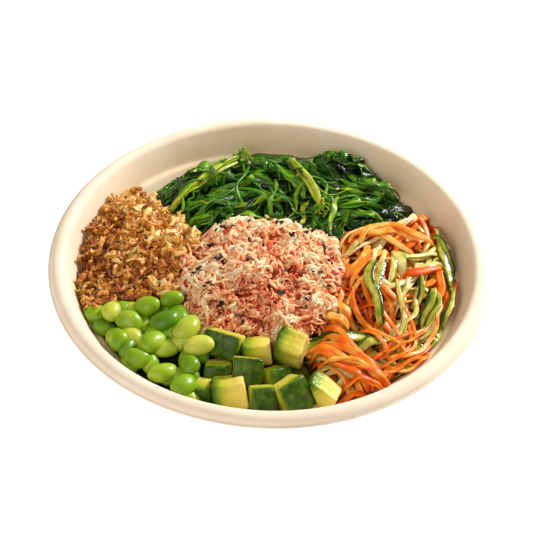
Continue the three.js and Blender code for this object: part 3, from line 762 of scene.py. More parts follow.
# Bundles of ribbons that lie on top, the lower ones first: place in plan, turn, how many, length,
# width and tint.
SEAWEED_BUNDLES = [
    ((-45, 70), 60, 6, 36, 6.5, 0.2), ((48, 78), 0, 6, 32, 8, 0.2), ((-42, 45), 30, 5, 34, 4.5, 0.45),
    ((-30, 75), 45, 5, 36, 4, 0.4), ((0, 85), -15, 5, 34, 4.5, 0.4), ((48, 60), 5, 7, 40, 4.5, 0.45),
    ((-22, 60), 25, 6, 34, 3.6, 0.6), ((5, 65), -55, 7, 36, 4.5, 0.55), ((45, 48), 15, 6, 40, 3.2, 0.65),
    ((50, 66), -10, 5, 30, 3, 0.7), ((-12, 45), 15, 4, 34, 4.5, 0.75), ((12, 45), 75, 4, 28, 2.4, 0.8),
]
for (x, y), turn, count, length, width, tint in SEAWEED_BUNDLES:
    for _ in range(count):
        line = route(*random.normal((x, y), (6, 5)), turn + random.normal(0, 18),
                     length * random.uniform(0.6, 1.2), random.normal(0, 1.2), STRAND_STEPS,
                     random.uniform(0.1, 0.5), random.uniform(0.8, 2.2), random.uniform(0, 6.3))
        line = trimmed(line, seaweed_inside, LEAST_STEPS)
        if line is not None:
            seaweed.append(seaweed_strand(
                random, line, width * random.uniform(0.5, 1.7), random.uniform(0.4, 0.7),
                tint + random.normal(0, 0.14), cap=7.0, ruffled=0.45, lift=random.uniform(0, 1.2)))

# Two thick pale stems over the rest: place, turn, length, bend, width and tint.
SEAWEED_STEMS = [((-38, 66), 50, 64, -0.1, 4.2, 1.05), ((18, 64), -60, 38, -0.3, 4.6, 1.1)]
for (x, y), turn, length, bend, width, tint in SEAWEED_STEMS:
    line = trimmed(route(x, y, turn, length, bend), seaweed_inside, LEAST_STEPS)
    for _ in range(3):
        beside = line + random.normal(0, 0.6, 2)
        seaweed.append(seaweed_strand(random, beside, width * random.uniform(0.6, 1), STEM_THICKNESS,
                                      tint + random.normal(0, 0.12), cap=9, ruffled=0.5, lift=0.4))
seaweed += loose_seaweed(random, OVER_RIBBONS, lengths=(14, 40), widths=(0.8, 1.1, 1.6, 3.0), cap=7.5,
                         tints=(0.5, 0.22))


FRILL_SPREAD, FRILL_THICKNESS, FRILL_CURL = 2.2, 0.5, 22
STEM_ENDS = [(-18, 88), (27, 45)]


def frills(spots, count, tint, width):
    """Ruffled blade tips: many short, tight curls close together."""
    made = []
    for x, y in spots:
        for _ in range(count):
            at = random.normal((x, y), FRILL_SPREAD)
            line = route(*at, random.uniform(0, 360), random.uniform(4, 7), random.normal(0, FRILL_CURL),
                         STRAND_STEPS, sway=0.5, waves=2)
            made.append(seaweed_strand(
                random, line, width * random.uniform(0.6, 1.3), FRILL_THICKNESS, tint + random.normal(0, 0.1),
                cap=8, ruffled=0.6, lift=random.uniform(-0.2, 0.8)))
    return made


seaweed += frills(STEM_ENDS, count=14, tint=1.0, width=1.0)
ruffled_spots = spaced_spots(random, seaweed_inside, SEAWEED_BOX, count=7, apart=18)
seaweed += frills(ruffled_spots, count=6, tint=0.45, width=1.4)


def streaks(material, across_mm, run_mm, detail=3.0):
    """Noise drawn out along a strand, from its places across and along."""
    wide = spread(material, attribute(material, "across"), 0, 1, 0, across_mm)
    long = spread(material, attribute(material, "run"), 0, 1, 0, run_mm)
    wide.node.clamp = long.node.clamp = False
    place = add_node(material, "CombineXYZ", {0: wide, 1: long}).outputs[0]
    return add_node(material, "TexNoise", {"Vector": place, "Scale": 1.0, "Detail": detail}).outputs["Fac"]


def seaweed_finish():
    material, shader = shader_of(
        "wet_seaweed", Roughness=0.11, Specular_IOR_Level=0.6, Subsurface_Weight=0.25,
        Subsurface_Scale=0.0012, Subsurface_Radius=(0.5, 1.0, 0.1))
    both = varied(material, attribute(material, "tint"), (grain(material, 9, 3), 0.2),
                  (streaks(material, 2.6, 0.12), 0.2))
    scaled = spread(material, both, 0.0, 1.4)
    colour = ramp(material, scaled, [
        (0.0, (8, 32, 0)), (0.18, (24, 76, 0)), (0.4, (62, 130, 0)), (0.6, (114, 168, 10)),
        (0.8, (180, 202, 34)), (1.0, (222, 222, 104))])
    link(material, colour, shader.inputs["Base Color"])
    relief(material, shader, [(grain(material, 2.8, 3), 1.0), (streaks(material, 3.6, 0.2), 0.35)])
    return material


points, faces, values = strand_batch(seaweed)
seaweed_pieces = [
    # The core's colours are painted shade for the gaps between the ribbons.
    heap_core(
        "seaweed_core", "seaweed", seaweed_outline, about(72, 88), lambda x, y: seaweed_top(x, y) - 8,
        patches=(4, 3), bumps=(3, 3, 1.2), colours=[(0.3, (2, 8, 0)), (0.7, (12, 34, 2))], roughness=0.6),
    mesh_piece("seaweed_strands", points, faces, seaweed_finish(), **values),
]


def ground_top(x, y):
    return ground[cells(np.asarray(x), np.asarray(y))]


# The seeds keep clear of the wall.
white_spots = spaced_spots(random, lambda x, y: seaweed_inside(1.14 * x, 1.14 * y), SEAWEED_BOX,
                           WHITE_SESAME_SEEDS, apart=12)
points, faces = seed_mesh(random, white_spots, ground_top, WHITE_SESAME_LIFT)
white_sesame = seed_finish("white_sesame", (206, 176, 110), (244, 226, 176))
seaweed_pieces.append(mesh_piece("white_sesame", points, faces, white_sesame))
for piece in seaweed_pieces:
    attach(piece, "root")
    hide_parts("seaweed_salad")

# ---------------------------------------------------------------------------------------------
# Crispy onion: thin slices of onion, floured and fried until they curl and break into flakes,
# gold to brown, poured loose in a low heap at the left.
# ---------------------------------------------------------------------------------------------

ONION_FLAKES = 1150
ONION_STRIPS = 170
ONION_CRUMBS = 650
ONION_CLUMPS, ONION_CLUMP_SPACING = 42, 8.4
ONION_BOX = ((-99, -40), (-30, 66))
ONION_CLUMP_SIZES, ONION_CLUMP_HEIGHTS = (5, 9), (1, 6.5)
ONION_SINK = 2.6

onion_outline = sector_outline(SEAWEED_TO_ONION, ONION_TO_BEANS)
onion_inside = inside_of(onion_outline)
onion_slope = slope_top(wall=44, inner=51, dome=6, summit=about(70, 168), wide=24, lumpy=1.2)
random = np.random.default_rng(29)
onion_clumps = spaced_spots(random, onion_inside, ONION_BOX, ONION_CLUMPS, ONION_CLUMP_SPACING)
onion_clump_size = random.uniform(*ONION_CLUMP_SIZES, len(onion_clumps))
onion_clump_high = random.uniform(*ONION_CLUMP_HEIGHTS, len(onion_clumps))


def onion_top(x, y):
    clumps = clumps_over(x, y, onion_clumps, onion_clump_size, onion_clump_high)
    return onion_slope(x, y) - ONION_SINK + clumps


def scattered_in(random, inside, box, count):
    spots = []
    while len(spots) < count:
        some = random.uniform(*box, (4 * count, 2))
        spots.extend(some[inside(some[:, 0], some[:, 1])])
    return np.array(spots[:count])


def turns_of(random, count, tilt):
    """Rotation matrices: any turn about Z, after a tilt and a roll of that spread in radians."""
    turn = random.uniform(0, 2 * np.pi, count)
    about_y, about_x = random.normal(0, tilt, count), random.normal(0, tilt, count)
    none, whole = np.zeros(count), np.ones(count)

    def matrix(*rows):
        return np.array(rows).transpose(2, 0, 1)

    c, s = np.cos(turn), np.sin(turn)
    about_z = matrix([c, -s, none], [s, c, none], [none, none, whole])
    c, s = np.cos(about_y), np.sin(about_y)
    tilted = matrix([c, none, s], [none, whole, none], [-s, none, c])
    c, s = np.cos(about_x), np.sin(about_x)
    rolled = matrix([whole, none, none], [none, c, -s], [none, s, c])
    return about_z @ tilted @ rolled


def grid_quads(index):
    """The four corners of each cell of a grid of point numbers."""
    corners = [index[:-1, :-1], index[1:, :-1], index[1:, 1:], index[:-1, 1:]]
    return np.stack(corners, -1).reshape(-1, 4)


def flake_shapes(random, count, length, width, thickness, columns=6, rows=4):
    """Curled flakes with ragged edges, each closed: (flakes, points, 3) and the faces of all."""
    u, v = np.meshgrid(np.linspace(-1, 1, columns), np.linspace(-1, 1, rows), indexing="ij")
    ragged = 1 + random.uniform(-0.35, 0.3, (count, columns, 1)) * np.ones((1, 1, rows))
    narrow = 1 - 0.35 * u[None] ** 2 * random.uniform(0.3, 1.4, (count, 1, 1))
    x = random.uniform(*length, count)[:, None, None] / 2
    x = x * (u + random.normal(0, 0.08, (count, columns, rows)))
    y = random.uniform(*width, count)[:, None, None] / 2 * v * ragged * narrow
    y = y + random.normal(0, 0.35, (count, 1, 1)) * u**2 * 2
    curl_long, curl_wide = random.normal(0, 1.7, (2, count, 1, 1))
    z = curl_long * u**2 + curl_wide * v**2 + random.normal(0, 0.28, (count, columns, rows))
    z = z - z.mean((1, 2), keepdims=True)
    thick = random.uniform(*thickness, count)[:, None, None] * (1 - 0.5 * np.maximum(u**4, v**4))
    top = np.stack([x, y, z + thick / 2], 3).reshape(count, -1, 3)
    bottom = np.stack([x, y, z - thick / 2], 3).reshape(count, -1, 3)
    half = columns * rows
    index = np.arange(half).reshape(columns, rows)
    quads = grid_quads(index)
    upper = np.concatenate([quads[:, [0, 1, 2]], quads[:, [0, 2, 3]]])
    border = np.concatenate([index[:, 0], index[-1, 1:], index[-2::-1, -1], index[0, -2:0:-1]])
    after = np.roll(border, -1)
    rim = np.concatenate([np.stack([border, border + half, after + half], 1),
                          np.stack([border, after + half, after], 1)])
    one = np.concatenate([upper, upper[:, ::-1] + half, rim])
    return np.concatenate([top, bottom], 1), copies_of(one, count, 2 * half)


def onion_flakes(name, count, material, length, width, thickness, tilt, depth, paler):
    shapes, faces = flake_shapes(random, count, length, width, thickness)
    spots = scattered_in(random, onion_inside, ONION_BOX, count)
    shapes = shapes @ turns_of(random, count, tilt).transpose(0, 2, 1)
    surface = onion_top(spots[:, 0], spots[:, 1]) + random.uniform(*depth, count)
    shapes = shapes + np.concatenate([spots, surface[:, None]], 1)[:, None]
    # Flakes on high clumps get paler tints and those between clumps darker ones: painted light and shade. The
    # tint also darkens towards the wall and pales towards the back.
    painted_shade_height = (surface - onion_slope(spots[:, 0], spots[:, 1]) + 1) / 6
    edge = (np.hypot(*spots.T) - 70) / 60
    tint = random.normal(paler, 0.16, count) + 0.5 * painted_shade_height - edge * 0.5 + (spots[:, 1] - 10) / 250
    tint = np.repeat(np.clip(tint, 0, 1), shapes.shape[1])
    return mesh_piece(name, kept_in_bowl(shapes).reshape(-1, 3), faces, material, tint=tint)


def onion_finish():
    material, shader = shader_of(
        "fried_onion", Roughness=0.5, Specular_IOR_Level=0.5, Subsurface_Weight=0.15, Subsurface_Scale=0.001,
        Subsurface_Radius=(1.0, 0.5, 0.2))
    both = varied(material, attribute(material, "tint"), (grain(material, 2.4, 4), 0.3))
    colour = ramp(material, both, [
        (0.0, (104, 40, 4)), (0.28, (168, 88, 16)), (0.52, (216, 140, 44)), (0.78, (242, 188, 94)),
        (1.0, (254, 226, 158))])
    link(material, colour, shader.inputs["Base Color"])
    relief(material, shader, [(grain(material, 0.9, 3), 0.3)])
    return material


fried = onion_finish()
onion_pieces = [
    # The core's colours are painted shade for the gaps between the flakes.
    heap_core(
        "onion_core", "onion", onion_outline, about(72, 171), lambda x, y: onion_top(x, y) - 1.4,
        patches=(3, 4), bumps=(2.5, 4, 1.0), colours=[(0.3, (54, 14, 2)), (0.7, (124, 54, 12))],
        roughness=0.8),
    onion_flakes("onion_flakes", ONION_FLAKES, fried, length=(3.5, 10), width=(1.8, 5), thickness=(0.5, 1.1),
                 tilt=0.7, depth=(-1.8, 1.4), paler=0.34),
    onion_flakes("onion_strips", ONION_STRIPS, fried, length=(6, 13), width=(1.6, 3.2), thickness=(0.7, 1.3),
                 tilt=0.4, depth=(0.4, 2.2), paler=0.5),
    onion_flakes("onion_crumbs", ONION_CRUMBS, fried, length=(1.2, 2.8), width=(0.8, 2.2),
                 thickness=(0.6, 1.4), tilt=1.0, depth=(-0.5, 1.6), paler=0.4),
]
for piece in onion_pieces:
    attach(piece, "root")
    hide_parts("crispy_onion")

# ---------------------------------------------------------------------------------------------
# Edamame: young soya beans out of their pods, boiled and rinsed. Each is a plump oval, slightly
# bent, with a smooth moist skin and a faint seam, and they lie loose at the front left.
# ---------------------------------------------------------------------------------------------

BEAN_LENGTH, BEAN_WIDTH, BEAN_THICKNESS = 15.0, 11.2, 9.3
LOWER_BEANS, UPPER_BEANS = 40, 16
LOWER_LIFT, UPPER_LIFT = (1.5, 4), (6.5, 8)
LOWER_SPACING, UPPER_SPACING = 8.2, 11.5
BEAN_SHARES = (0.78, 1.1)
BEAN_BOX = ((-95, -96), (-28, -28))
BEAN_BEND = 1.1

edamame_outline = sector_outline(ONION_TO_BEANS, BEANS_TO_AVOCADO)
edamame_inside = inside_of(edamame_outline)
edamame_top = slope_top(wall=41, inner=50)


def bean_mesh(random, length, rows=18, around=28):
    """One bean about its own centre, longest along X, with a seam along one side."""
    t = np.linspace(0, np.pi, rows)[1:-1]
    angles = np.arange(around) * 2 * np.pi / around
    x = np.repeat(-np.cos(t), around)
    ring = np.repeat(np.sin(t) ** 0.92, around)
    y, z = ring * np.tile(np.cos(angles), len(t)), ring * np.tile(np.sin(angles), len(t))
    seam = np.exp(-((np.tile(angles, len(t)) - np.pi / 2) / 0.16) ** 2)
    swell = 1 + 0.05 * random.normal() * x + 0.03 * np.sin(3 * x + random.uniform(0, 6))
    scale = length / BEAN_LENGTH
    wide, thick = BEAN_WIDTH / 2 * scale**0.5, BEAN_THICKNESS / 2 * scale**0.5
    shape = np.stack([x * length / 2, y * wide * swell, z * thick], 1)
    shape[:, 1:] *= (1 - 0.035 * seam * ring)[:, None]
    shape[:, 1] -= BEAN_BEND * x**2 * scale
    ends = np.array([[-length / 2, -BEAN_BEND * scale, 0], [length / 2, -BEAN_BEND * scale, 0]])
    last = 2 + (len(t) - 1) * around
    faces = [fan(0, 2, around)[:, ::-1], between_rings(len(t), around, 2)[:, ::-1], fan(1, last, around)]
    return np.concatenate([ends, shape]), np.concatenate(faces)


def rotation(turn, tilt, roll):
    """Turn about Z, after tilt about Y, after roll about X, in degrees."""
    about_z, about_y, about_x = (Matrix.Rotation(math.radians(angle), 3, axis)
                                 for angle, axis in ((turn, "Z"), (tilt, "Y"), (roll, "X")))
    return np.array(about_z @ about_y @ about_x)


def edamame_finish():
    material, shader = shader_of(
        "edamame_skin", Roughness=0.34, Specular_IOR_Level=0.42, Subsurface_Weight=0.15,
        Subsurface_Scale=0.003, Subsurface_Radius=(0.6, 1.0, 0.15))
    both = varied(material, attribute(material, "tint"), (grain(material, 8, 3), 0.18))
    colour = ramp(material, both, [(0.0, (82, 130, 6)), (0.45, (136, 176, 20)), (1.0, (206, 212, 82))])
    link(material, colour, shader.inputs["Base Color"])
    relief(material, shader, [(grain(material, 3, 3), 0.2), (grain(material, 0.6, 2), 0.02)])
    return material


def bean_bed(x, y, clear=3.2):
    """Where a bean's middle may lie: inside the beans' share of the bowl, clear of its edges."""
    corners = about(clear, np.arange(0, 360, 45))
    return all(edamame_inside(x + dx, y + dy) for dx, dy in corners)


random = np.random.default_rng(3)
bean_points, bean_faces, bean_tints, so_far = [], [], [], 0
lower_spots = spaced_spots(random, bean_bed, BEAN_BOX, LOWER_BEANS, LOWER_SPACING)
upper_spots = spaced_spots(random, bean_bed, BEAN_BOX, UPPER_BEANS, UPPER_SPACING)
for spots, lift in ((lower_spots, LOWER_LIFT), (upper_spots, UPPER_LIFT)):
    for x, y in spots:
        shape, faces = bean_mesh(random, BEAN_LENGTH * random.uniform(*BEAN_SHARES))
        lies = rotation(random.uniform(0, 360), random.normal(0, 12), random.normal(0, 25))
        high = edamame_top(x, y) + random.uniform(*lift)
        bean_points.append(kept_in_bowl(shape @ lies.T + [x, y, high]))
        bean_faces.append(faces + so_far)
        bean_tints.append(np.full(len(shape), np.clip(random.normal(0.5, 0.2), 0.05, 0.98)))
        so_far += len(shape)
edamame_pieces = [
    # The core's colours are painted shade for the gaps between the beans.
    heap_core(
        "edamame_core", "edamame", edamame_outline, about(76, 224), lambda x, y: edamame_top(x, y) - 1.5,
        patches=(5, 3), bumps=(4, 3, 1.0), colours=[(0.3, (8, 16, 2)), (0.7, (28, 48, 6))]),
    mesh_piece("edamame_beans", np.concatenate(bean_points), np.concatenate(bean_faces), edamame_finish(),
               tint=np.concatenate(bean_tints)),
]
for piece in edamame_pieces:
    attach(piece, "root")
    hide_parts("edamame")

# ---------------------------------------------------------------------------------------------
# Avocado: ripe flesh peeled and cut into dice with a knife. Each has one rounded side that lay
# under the skin and is dark green, and fades to yellow towards the stone. The cut faces are flat
# and slightly greasy, with softened edges.
# ---------------------------------------------------------------------------------------------

# The dice lie in three rows round the bowl's centre, evenly spaced between the row's two turns: its
# radius, those turns and how many gaps. Each die has its row and its place in it, the height of its
# centre, its size, and its turn, tilt and roll, the top ones first. The rounded side faces +X
# before it turns.
BACK_ROW, MIDDLE_ROW, FRONT_ROW = (61, 250, 282, 2), (75, 252, 274, 2), (89, 250, 288, 4)
DICE = [
    (BACK_ROW, 0, 51, (12, 18, 12), (245, -35, 5)),
    (BACK_ROW, 1, 50, (13, 12, 11), (185, 5, 20)),
    (BACK_ROW, 2, 52, (13, 13, 18), (160, -5, -15)),
    (MIDDLE_ROW, 1, 50, (12, 14, 14), (280, -40, -10)),
    (FRONT_ROW, 1, 48, (15, 14, 15), (190, 10, 25)),
    (FRONT_ROW, 3, 49, (13, 14, 16), (310, -35, 5)),
    (FRONT_ROW, 4, 47, (15, 13, 13), (160, -25, 15)),
    (MIDDLE_ROW, 0, 45, (11, 13, 11), (270, -25, 0)),
    (FRONT_ROW, 2, 46, (12, 12, 14), (290, -35, -10)),
    (MIDDLE_ROW, 2, 45, (10, 11, 13), (320, -30, -20)),
    (FRONT_ROW, 0, 44, (10, 11, 12), (260, -10, 0)),
    (FRONT_ROW, 3.5, 42, (11, 11, 9), (210, -5, 10)),
]
DIE_STEPS = 14
EDGE_SHARPNESS = 18
NEXT_TO = 26
SKIN_DEPTH = 14
AVOCADO_VEIN = (104, 136, 34)


def cube_surface(steps):
    """Points and faces of a cube from -0.5 to 0.5, each side split into steps."""
    line = np.linspace(-0.5, 0.5, steps + 1)
    u, v = np.meshgrid(line, line, indexing="ij")
    quads = grid_quads(np.arange((steps + 1) ** 2).reshape(steps + 1, steps + 1))
    points, faces = [], []
    for axis in range(3):
        for sign in (-1, 1):
            side = np.zeros((*u.shape, 3))
            side[..., axis] = sign * 0.5
            side[..., (axis + 1) % 3] = u
            side[..., (axis + 2) % 3] = v
            faces.append((quads if sign > 0 else quads[:, ::-1]) + len(points) * (steps + 1) ** 2)
            points.append(side.reshape(-1, 3))
    points, faces = np.concatenate(points), np.concatenate(faces)
    _, first, back = np.unique(points.round(6), axis=0, return_index=True, return_inverse=True)
    return points[first], back.reshape(-1)[faces]


def skin_bulge(across, up):
    """How far the rounded side stands out, from the share of the die's width and height."""
    return 2 * (1 - 1.6 * (across**2 + up**2))


def die_shape(unit_cube, size, grow=0.0, wobble=None):
    """A die about its own centre, with softened edges, wider towards its rounded side."""
    rounding = (np.abs(2 * unit_cube) ** EDGE_SHARPNESS).sum(1) ** (1 / EDGE_SHARPNESS)
    p = unit_cube * (np.abs(2 * unit_cube).max(1) / np.maximum(rounding, 1e-6))[:, None]
    flare = 1 + 0.12 * p[:, :1]
    skin = np.clip((unit_cube[:, :1] + 0.1) / 0.6, 0, 1) * skin_bulge(p[:, 1:2], p[:, 2:])
    grown = np.array(size) + 2 * grow
    shape = np.concatenate([p[:, :1] * grown[0] + skin, p[:, 1:] * grown[1:] * flare], 1)
    if wobble is not None:
        broad = 0.22 * np.sin(shape[:, [1, 2, 0]] * 0.55 + wobble)
        shape += broad + 0.08 * np.sin(shape[:, [2, 0, 1]] * 1.7 + 2 * wobble)
    return shape


def avocado_finish():
    material, shader = shader_of(
        "avocado_flesh", Roughness=0.3, Specular_IOR_Level=0.3, Subsurface_Weight=0.3, Subsurface_Scale=0.002,
        Subsurface_Radius=(0.8, 1.0, 0.2))
    both = varied(material, attribute(material, "under_skin"), (grain(material, 5, 4), 0.07))
    colour = ramp(material, both, [
        (0.0, (46, 80, 8)), (0.07, (78, 114, 14)), (0.18, (128, 156, 30)), (0.36, (188, 192, 58)),
        (0.65, (222, 206, 86)), (1.0, (236, 218, 116))])
    veins = spread(material, grain(material, 4, 4), 0.46, 0.7)
    veined = blend(material, veins, colour, srgb(*AVOCADO_VEIN))
    near_skin = spread(material, both, 0.5, 0.1, 0.0, 0.5)
    link(material, blend(material, near_skin, colour, veined), shader.inputs["Base Color"])
    relief(material, shader, [
        (grain(material, 6, 3), 1.0), (grain(material, 2.2, 4), 0.45), (grain(material, 0.8, 2), 0.1)])
    return material


def cut_clear(piece, cutters):
    """Cuts a piece back where it would run into other shapes."""
    for cutter in cutters:
        cut = piece.modifiers.new("cut", "BOOLEAN")
        cut.operation = "DIFFERENCE"
        cut.solver = "EXACT"
        cut.object = cutter
    solved = bpy.data.meshes.new_from_object(piece.evaluated_get(bpy.context.evaluated_depsgraph_get()))
    piece.modifiers.clear()
    piece.data = solved


avocado_flesh = avocado_finish()
cube_points, cube_faces = cube_surface(DIE_STEPS)
random = np.random.default_rng(17)
die_rooms = []
for number, ((radius, first, last, gaps), place, high, size, (turn, tilt, roll)) in enumerate(DICE, 1):
    at = np.append(about(radius, first + (last - first) * place / gaps), high)
    lies = rotation(turn, tilt, roll)
    shape = die_shape(cube_points, size, wobble=random.uniform(0, 6, 3))
    die = mesh_piece(f"avocado_die_{number}_flesh", shape @ lies.T + at, cube_faces, avocado_flesh)
    room = mesh_piece("room", die_shape(cube_points, size, GAP) @ lies.T + at, cube_faces, avocado_flesh)
    near = [other for other, centre in die_rooms if math.dist(centre, at) < NEXT_TO]
    bpy.context.view_layer.update()
    if near:
        cut_clear(die, near)
    spots = np.array([v.co for v in die.data.vertices]) / MM
    local = (spots - at) @ lies
    die.data.vertices.foreach_set("co", (kept_in_bowl(spots) * MM).ravel())
    under = size[0] / 2 + skin_bulge(local[:, 1] / size[1], local[:, 2] / size[2]) - local[:, 0]
    stored = die.data.attributes.new("under_skin", "FLOAT", "POINT")
    stored.data.foreach_set("value", np.clip(under / SKIN_DEPTH, 0, 1).astype(np.float32))
    die.data.shade_smooth()
    die_rooms.append((room, at))
    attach(die, "root")
    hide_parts(f"avocado_die_{number}")
for room, _ in die_rooms:
    bpy.data.objects.remove(room)

# The lower layer: more of the same dice, of which only the gaps show, coloured dark as painted shade.
lower_avocado = heap_core(
    "avocado_bed", "avocado", sector_outline(BEANS_TO_AVOCADO, AVOCADO_TO_CARROT), about(78, 270),
    slope_top(wall=35, inner=42), patches=(7, 3), bumps=(6, 2, 1.2),
    colours=[(0.3, (34, 44, 8)), (0.7, (110, 116, 30))])
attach(lower_avocado, "root")
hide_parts("avocado_lower_layer")

# ---------------------------------------------------------------------------------------------
# Carrot and cucumber: raw carrot and cucumber cut on a slicer into long square threads, with some
# broader cucumber slices that keep their dark skin, tossed together and heaped at the right.
# ---------------------------------------------------------------------------------------------

THREAD_LAYERS = 12
THREAD_STEPS, LEAST_THREAD_STEPS = 24, 8
THREADS_ACROSS, THREADS_BACK = (-10, 99), (-95, 62)
FRONT_PART, FRONT_LEAN, SIDE_LEAN = -50, -35, 75
FULL_TURN = 360
threads_outline = sector_outline(AVOCADO_TO_CARROT, [edge + FULL_TURN for edge in CARROT_TO_SEAWEED])
threads_inside = inside_of(threads_outline)
threads_top = slope_top(wall=42, inner=50, dome=4, summit=about(66, 0), wide=34)
raise_ground(threads_inside, lambda x, y: threads_top(x, y) - 8)
random = np.random.default_rng(41)


def thread(line, width, thickness, tint, cap=1.5, roll=0.5):
    placed = laid(line, width, thickness, lambda px, py: threads_top(px, py) + cap, ease=6)
    steps = len(line)
    uneven = 1 + 0.12 * np.sin(np.linspace(0, random.uniform(3, 9), steps) + random.uniform(0, 6))
    rolled = np.linspace(*random.normal(0, roll, 2), steps)
    shape = tapered(steps, random.uniform(2.5, 8), random.uniform(0.3, 0.6))
    return placed, width * uneven * shape, thickness * (0.3 + 0.7 * shape), rolled, tint


def scattered_threads(count, lengths, widths, thicknesses):
    made = []
    while len(made) < count:
        x, y = random.uniform(*THREADS_ACROSS), random.uniform(*THREADS_BACK)
        if not threads_inside(x, y):
            continue
        turn = (FRONT_LEAN if y < FRONT_PART else SIDE_LEAN) + random.normal(0, 40)
        line = route(x, y, turn, random.uniform(*lengths), random.normal(0, 1.4), THREAD_STEPS,
                     random.uniform(0.1, 0.5), random.uniform(0.6, 1.8), random.uniform(0, 6.3))
        line = trimmed(line, threads_inside, LEAST_THREAD_STEPS)
        if line is not None:
            width, thickness = random.uniform(*widths), random.uniform(*thicknesses)
            made.append(thread(line, width, thickness, random.uniform(0, 1)))
    return made


carrot, cucumber, slices = [], [], []
for _ in range(THREAD_LAYERS):
    carrot += scattered_threads(10, lengths=(22, 56), widths=(2, 4), thicknesses=(1.1, 1.8))
    cucumber += scattered_threads(4, lengths=(22, 56), widths=(2, 3.6), thicknesses=(1, 1.6))
    slices += scattered_threads(1, lengths=(22, 40), widths=(3.5, 6.5), thicknesses=(1.2, 1.8))

# Bundles that lie on top, the lower ones first: kind, place in plan, turn, how many, length, width,
# tint and bend.
THREAD_BUNDLES = [
    ("carrot", (45, 28), 75, 5, 22, 3.4, 0.3, 0), ("carrot", (72, 30), 55, 5, 30, 3.4, 0.35, 0),
    ("carrot", (60, -5), 80, 6, 30, 3.6, 0.25, 0), ("cucumber", (76, -12), 60, 5, 40, 3, 0.8, 1),
    ("slice", (62, 0), -60, 2, 26, 5.5, 0.9, -1), ("carrot", (36, -2), 70, 4, 30, 3, 0.5, 0),
    ("carrot", (84, -10), 65, 5, 30, 4.2, 0.3, 0), ("slice", (90, -14), 80, 2, 30, 3, 0.1, 1),
    ("cucumber", (84, -36), 45, 6, 30, 3, 0.8, 4), ("carrot", (34, -38), -55, 6, 28, 4, 0.7, 0),
    ("slice", (30, -66), 35, 2, 34, 7, 0.1, 0), ("slice", (48, -54), 10, 2, 30, 5.5, 0.4, -3),
    ("carrot", (52, -22), -70, 7, 38, 3.6, 0.4, 0), ("cucumber", (68, -44), 70, 5, 36, 2.8, 0.7, 1),
    ("carrot", (70, -58), 40, 5, 34, 2.4, 0.4, 2), ("carrot", (44, -66), -30, 8, 40, 4.2, 0.45, -1),
    ("carrot", (46, -78), -10, 5, 28, 3.6, 0.35, -1), ("carrot", (88, 30), -85, 5, 34, 3.4, 0.35, -1.5),
    ("carrot", (52, 0), 60, 5, 44, 3.4, 0.75, 0), ("cucumber", (58, 26), 58, 5, 44, 3.4, 0.95, 0.5),
    ("cucumber", (80, 10), 40, 4, 36, 3, 0.8, 2), ("carrot", (56, -44), -60, 5, 40, 2.4, 0.6, 0),
    ("slice", (57, -24), -78, 2, 44, 4.8, 0.6, 0.3), ("carrot", (66, 20), -5, 3, 46, 3.6, 0.9, -2),
    ("slice", (91, 10), -80, 4, 36, 4, 0.15, -0.6), ("slice", (86, -28), 70, 4, 34, 4, 0.15, 0.6),
    ("carrot", (72, -56), 52, 4, 44, 2, 0.5, 0.6),
]
groups = {"carrot": carrot, "cucumber": cucumber, "slice": slices}
for kind, (x, y), turn, count, length, width, tint, bend in THREAD_BUNDLES:
    for _ in range(count):
        line = route(*random.normal((x, y), 5), turn + random.normal(0, 14),
                     length * random.uniform(0.7, 1.15), bend + random.normal(0, 1), THREAD_STEPS,
                     random.uniform(0, 0.35), random.uniform(0.6, 1.8), random.uniform(0, 6.3))
        line = trimmed(line, threads_inside, LEAST_THREAD_STEPS)
        if line is not None:
            broad = width * random.uniform(0.7, 1.2)
            thick = min(0.45 * broad, 2)
            groups[kind].append(thread(line, broad, thick, tint + random.normal(0, 0.12), cap=7.5, roll=0.3))


def carrot_finish():
    material, shader = shader_of(
        "raw_carrot", Roughness=0.34, Specular_IOR_Level=0.32, Subsurface_Weight=0.15, Subsurface_Scale=0.002,
        Subsurface_Radius=(1.0, 0.35, 0.05))
    both = varied(material, attribute(material, "tint"), (grain(material, 6, 3), 0.3),
                  (streaks(material, 1.6, 0.07), 0.3))
    colour = ramp(material, both, [
        (0.0, (222, 76, 0)), (0.35, (240, 114, 10)), (0.7, (248, 154, 48)), (1.0, (254, 200, 110))])
    link(material, colour, shader.inputs["Base Color"])
    relief(material, shader, [(grain(material, 1.2, 3), 0.1), (streaks(material, 2.4, 0.15), 0.16)])
    return material


def cucumber_finish(name, skin):
    """Pale wet flesh, with skin along one edge, which is broader and darker where tint is low."""
    material, shader = shader_of(
        name, Roughness=0.2, Specular_IOR_Level=0.45, Subsurface_Weight=0.4, Subsurface_Scale=0.003,
        Subsurface_Radius=(0.8, 1.0, 0.4))
    tint, across = attribute(material, "tint"), attribute(material, "across")
    both = varied(material, tint, (grain(material, 5, 3), 0.3), (streaks(material, 1.5, 0.12), 0.2))
    flesh = ramp(material, both, [
        (0.0, (134, 146, 30)), (0.4, (188, 182, 72)), (0.7, (220, 204, 118)), (1.0, (242, 226, 168))])
    shifted = summed(material, across, spread(material, tint, 0.1, 0.9, 0.3, -0.3))
    edge = varied(material, shifted, (streaks(material, 0.5, 0.2), 0.15))
    rind = spread(material, edge, 0.7 - skin, 1.1 - skin)
    dark = ramp(material, tint, [(0.1, (38, 62, 6)), (0.5, (74, 110, 12)), (0.95, (136, 178, 34))])
    link(material, blend(material, rind, flesh, dark), shader.inputs["Base Color"])
    relief(material, shader, [(grain(material, 1.6, 3), 0.25), (streaks(material, 2.0, 0.2), 0.15)])
    return material
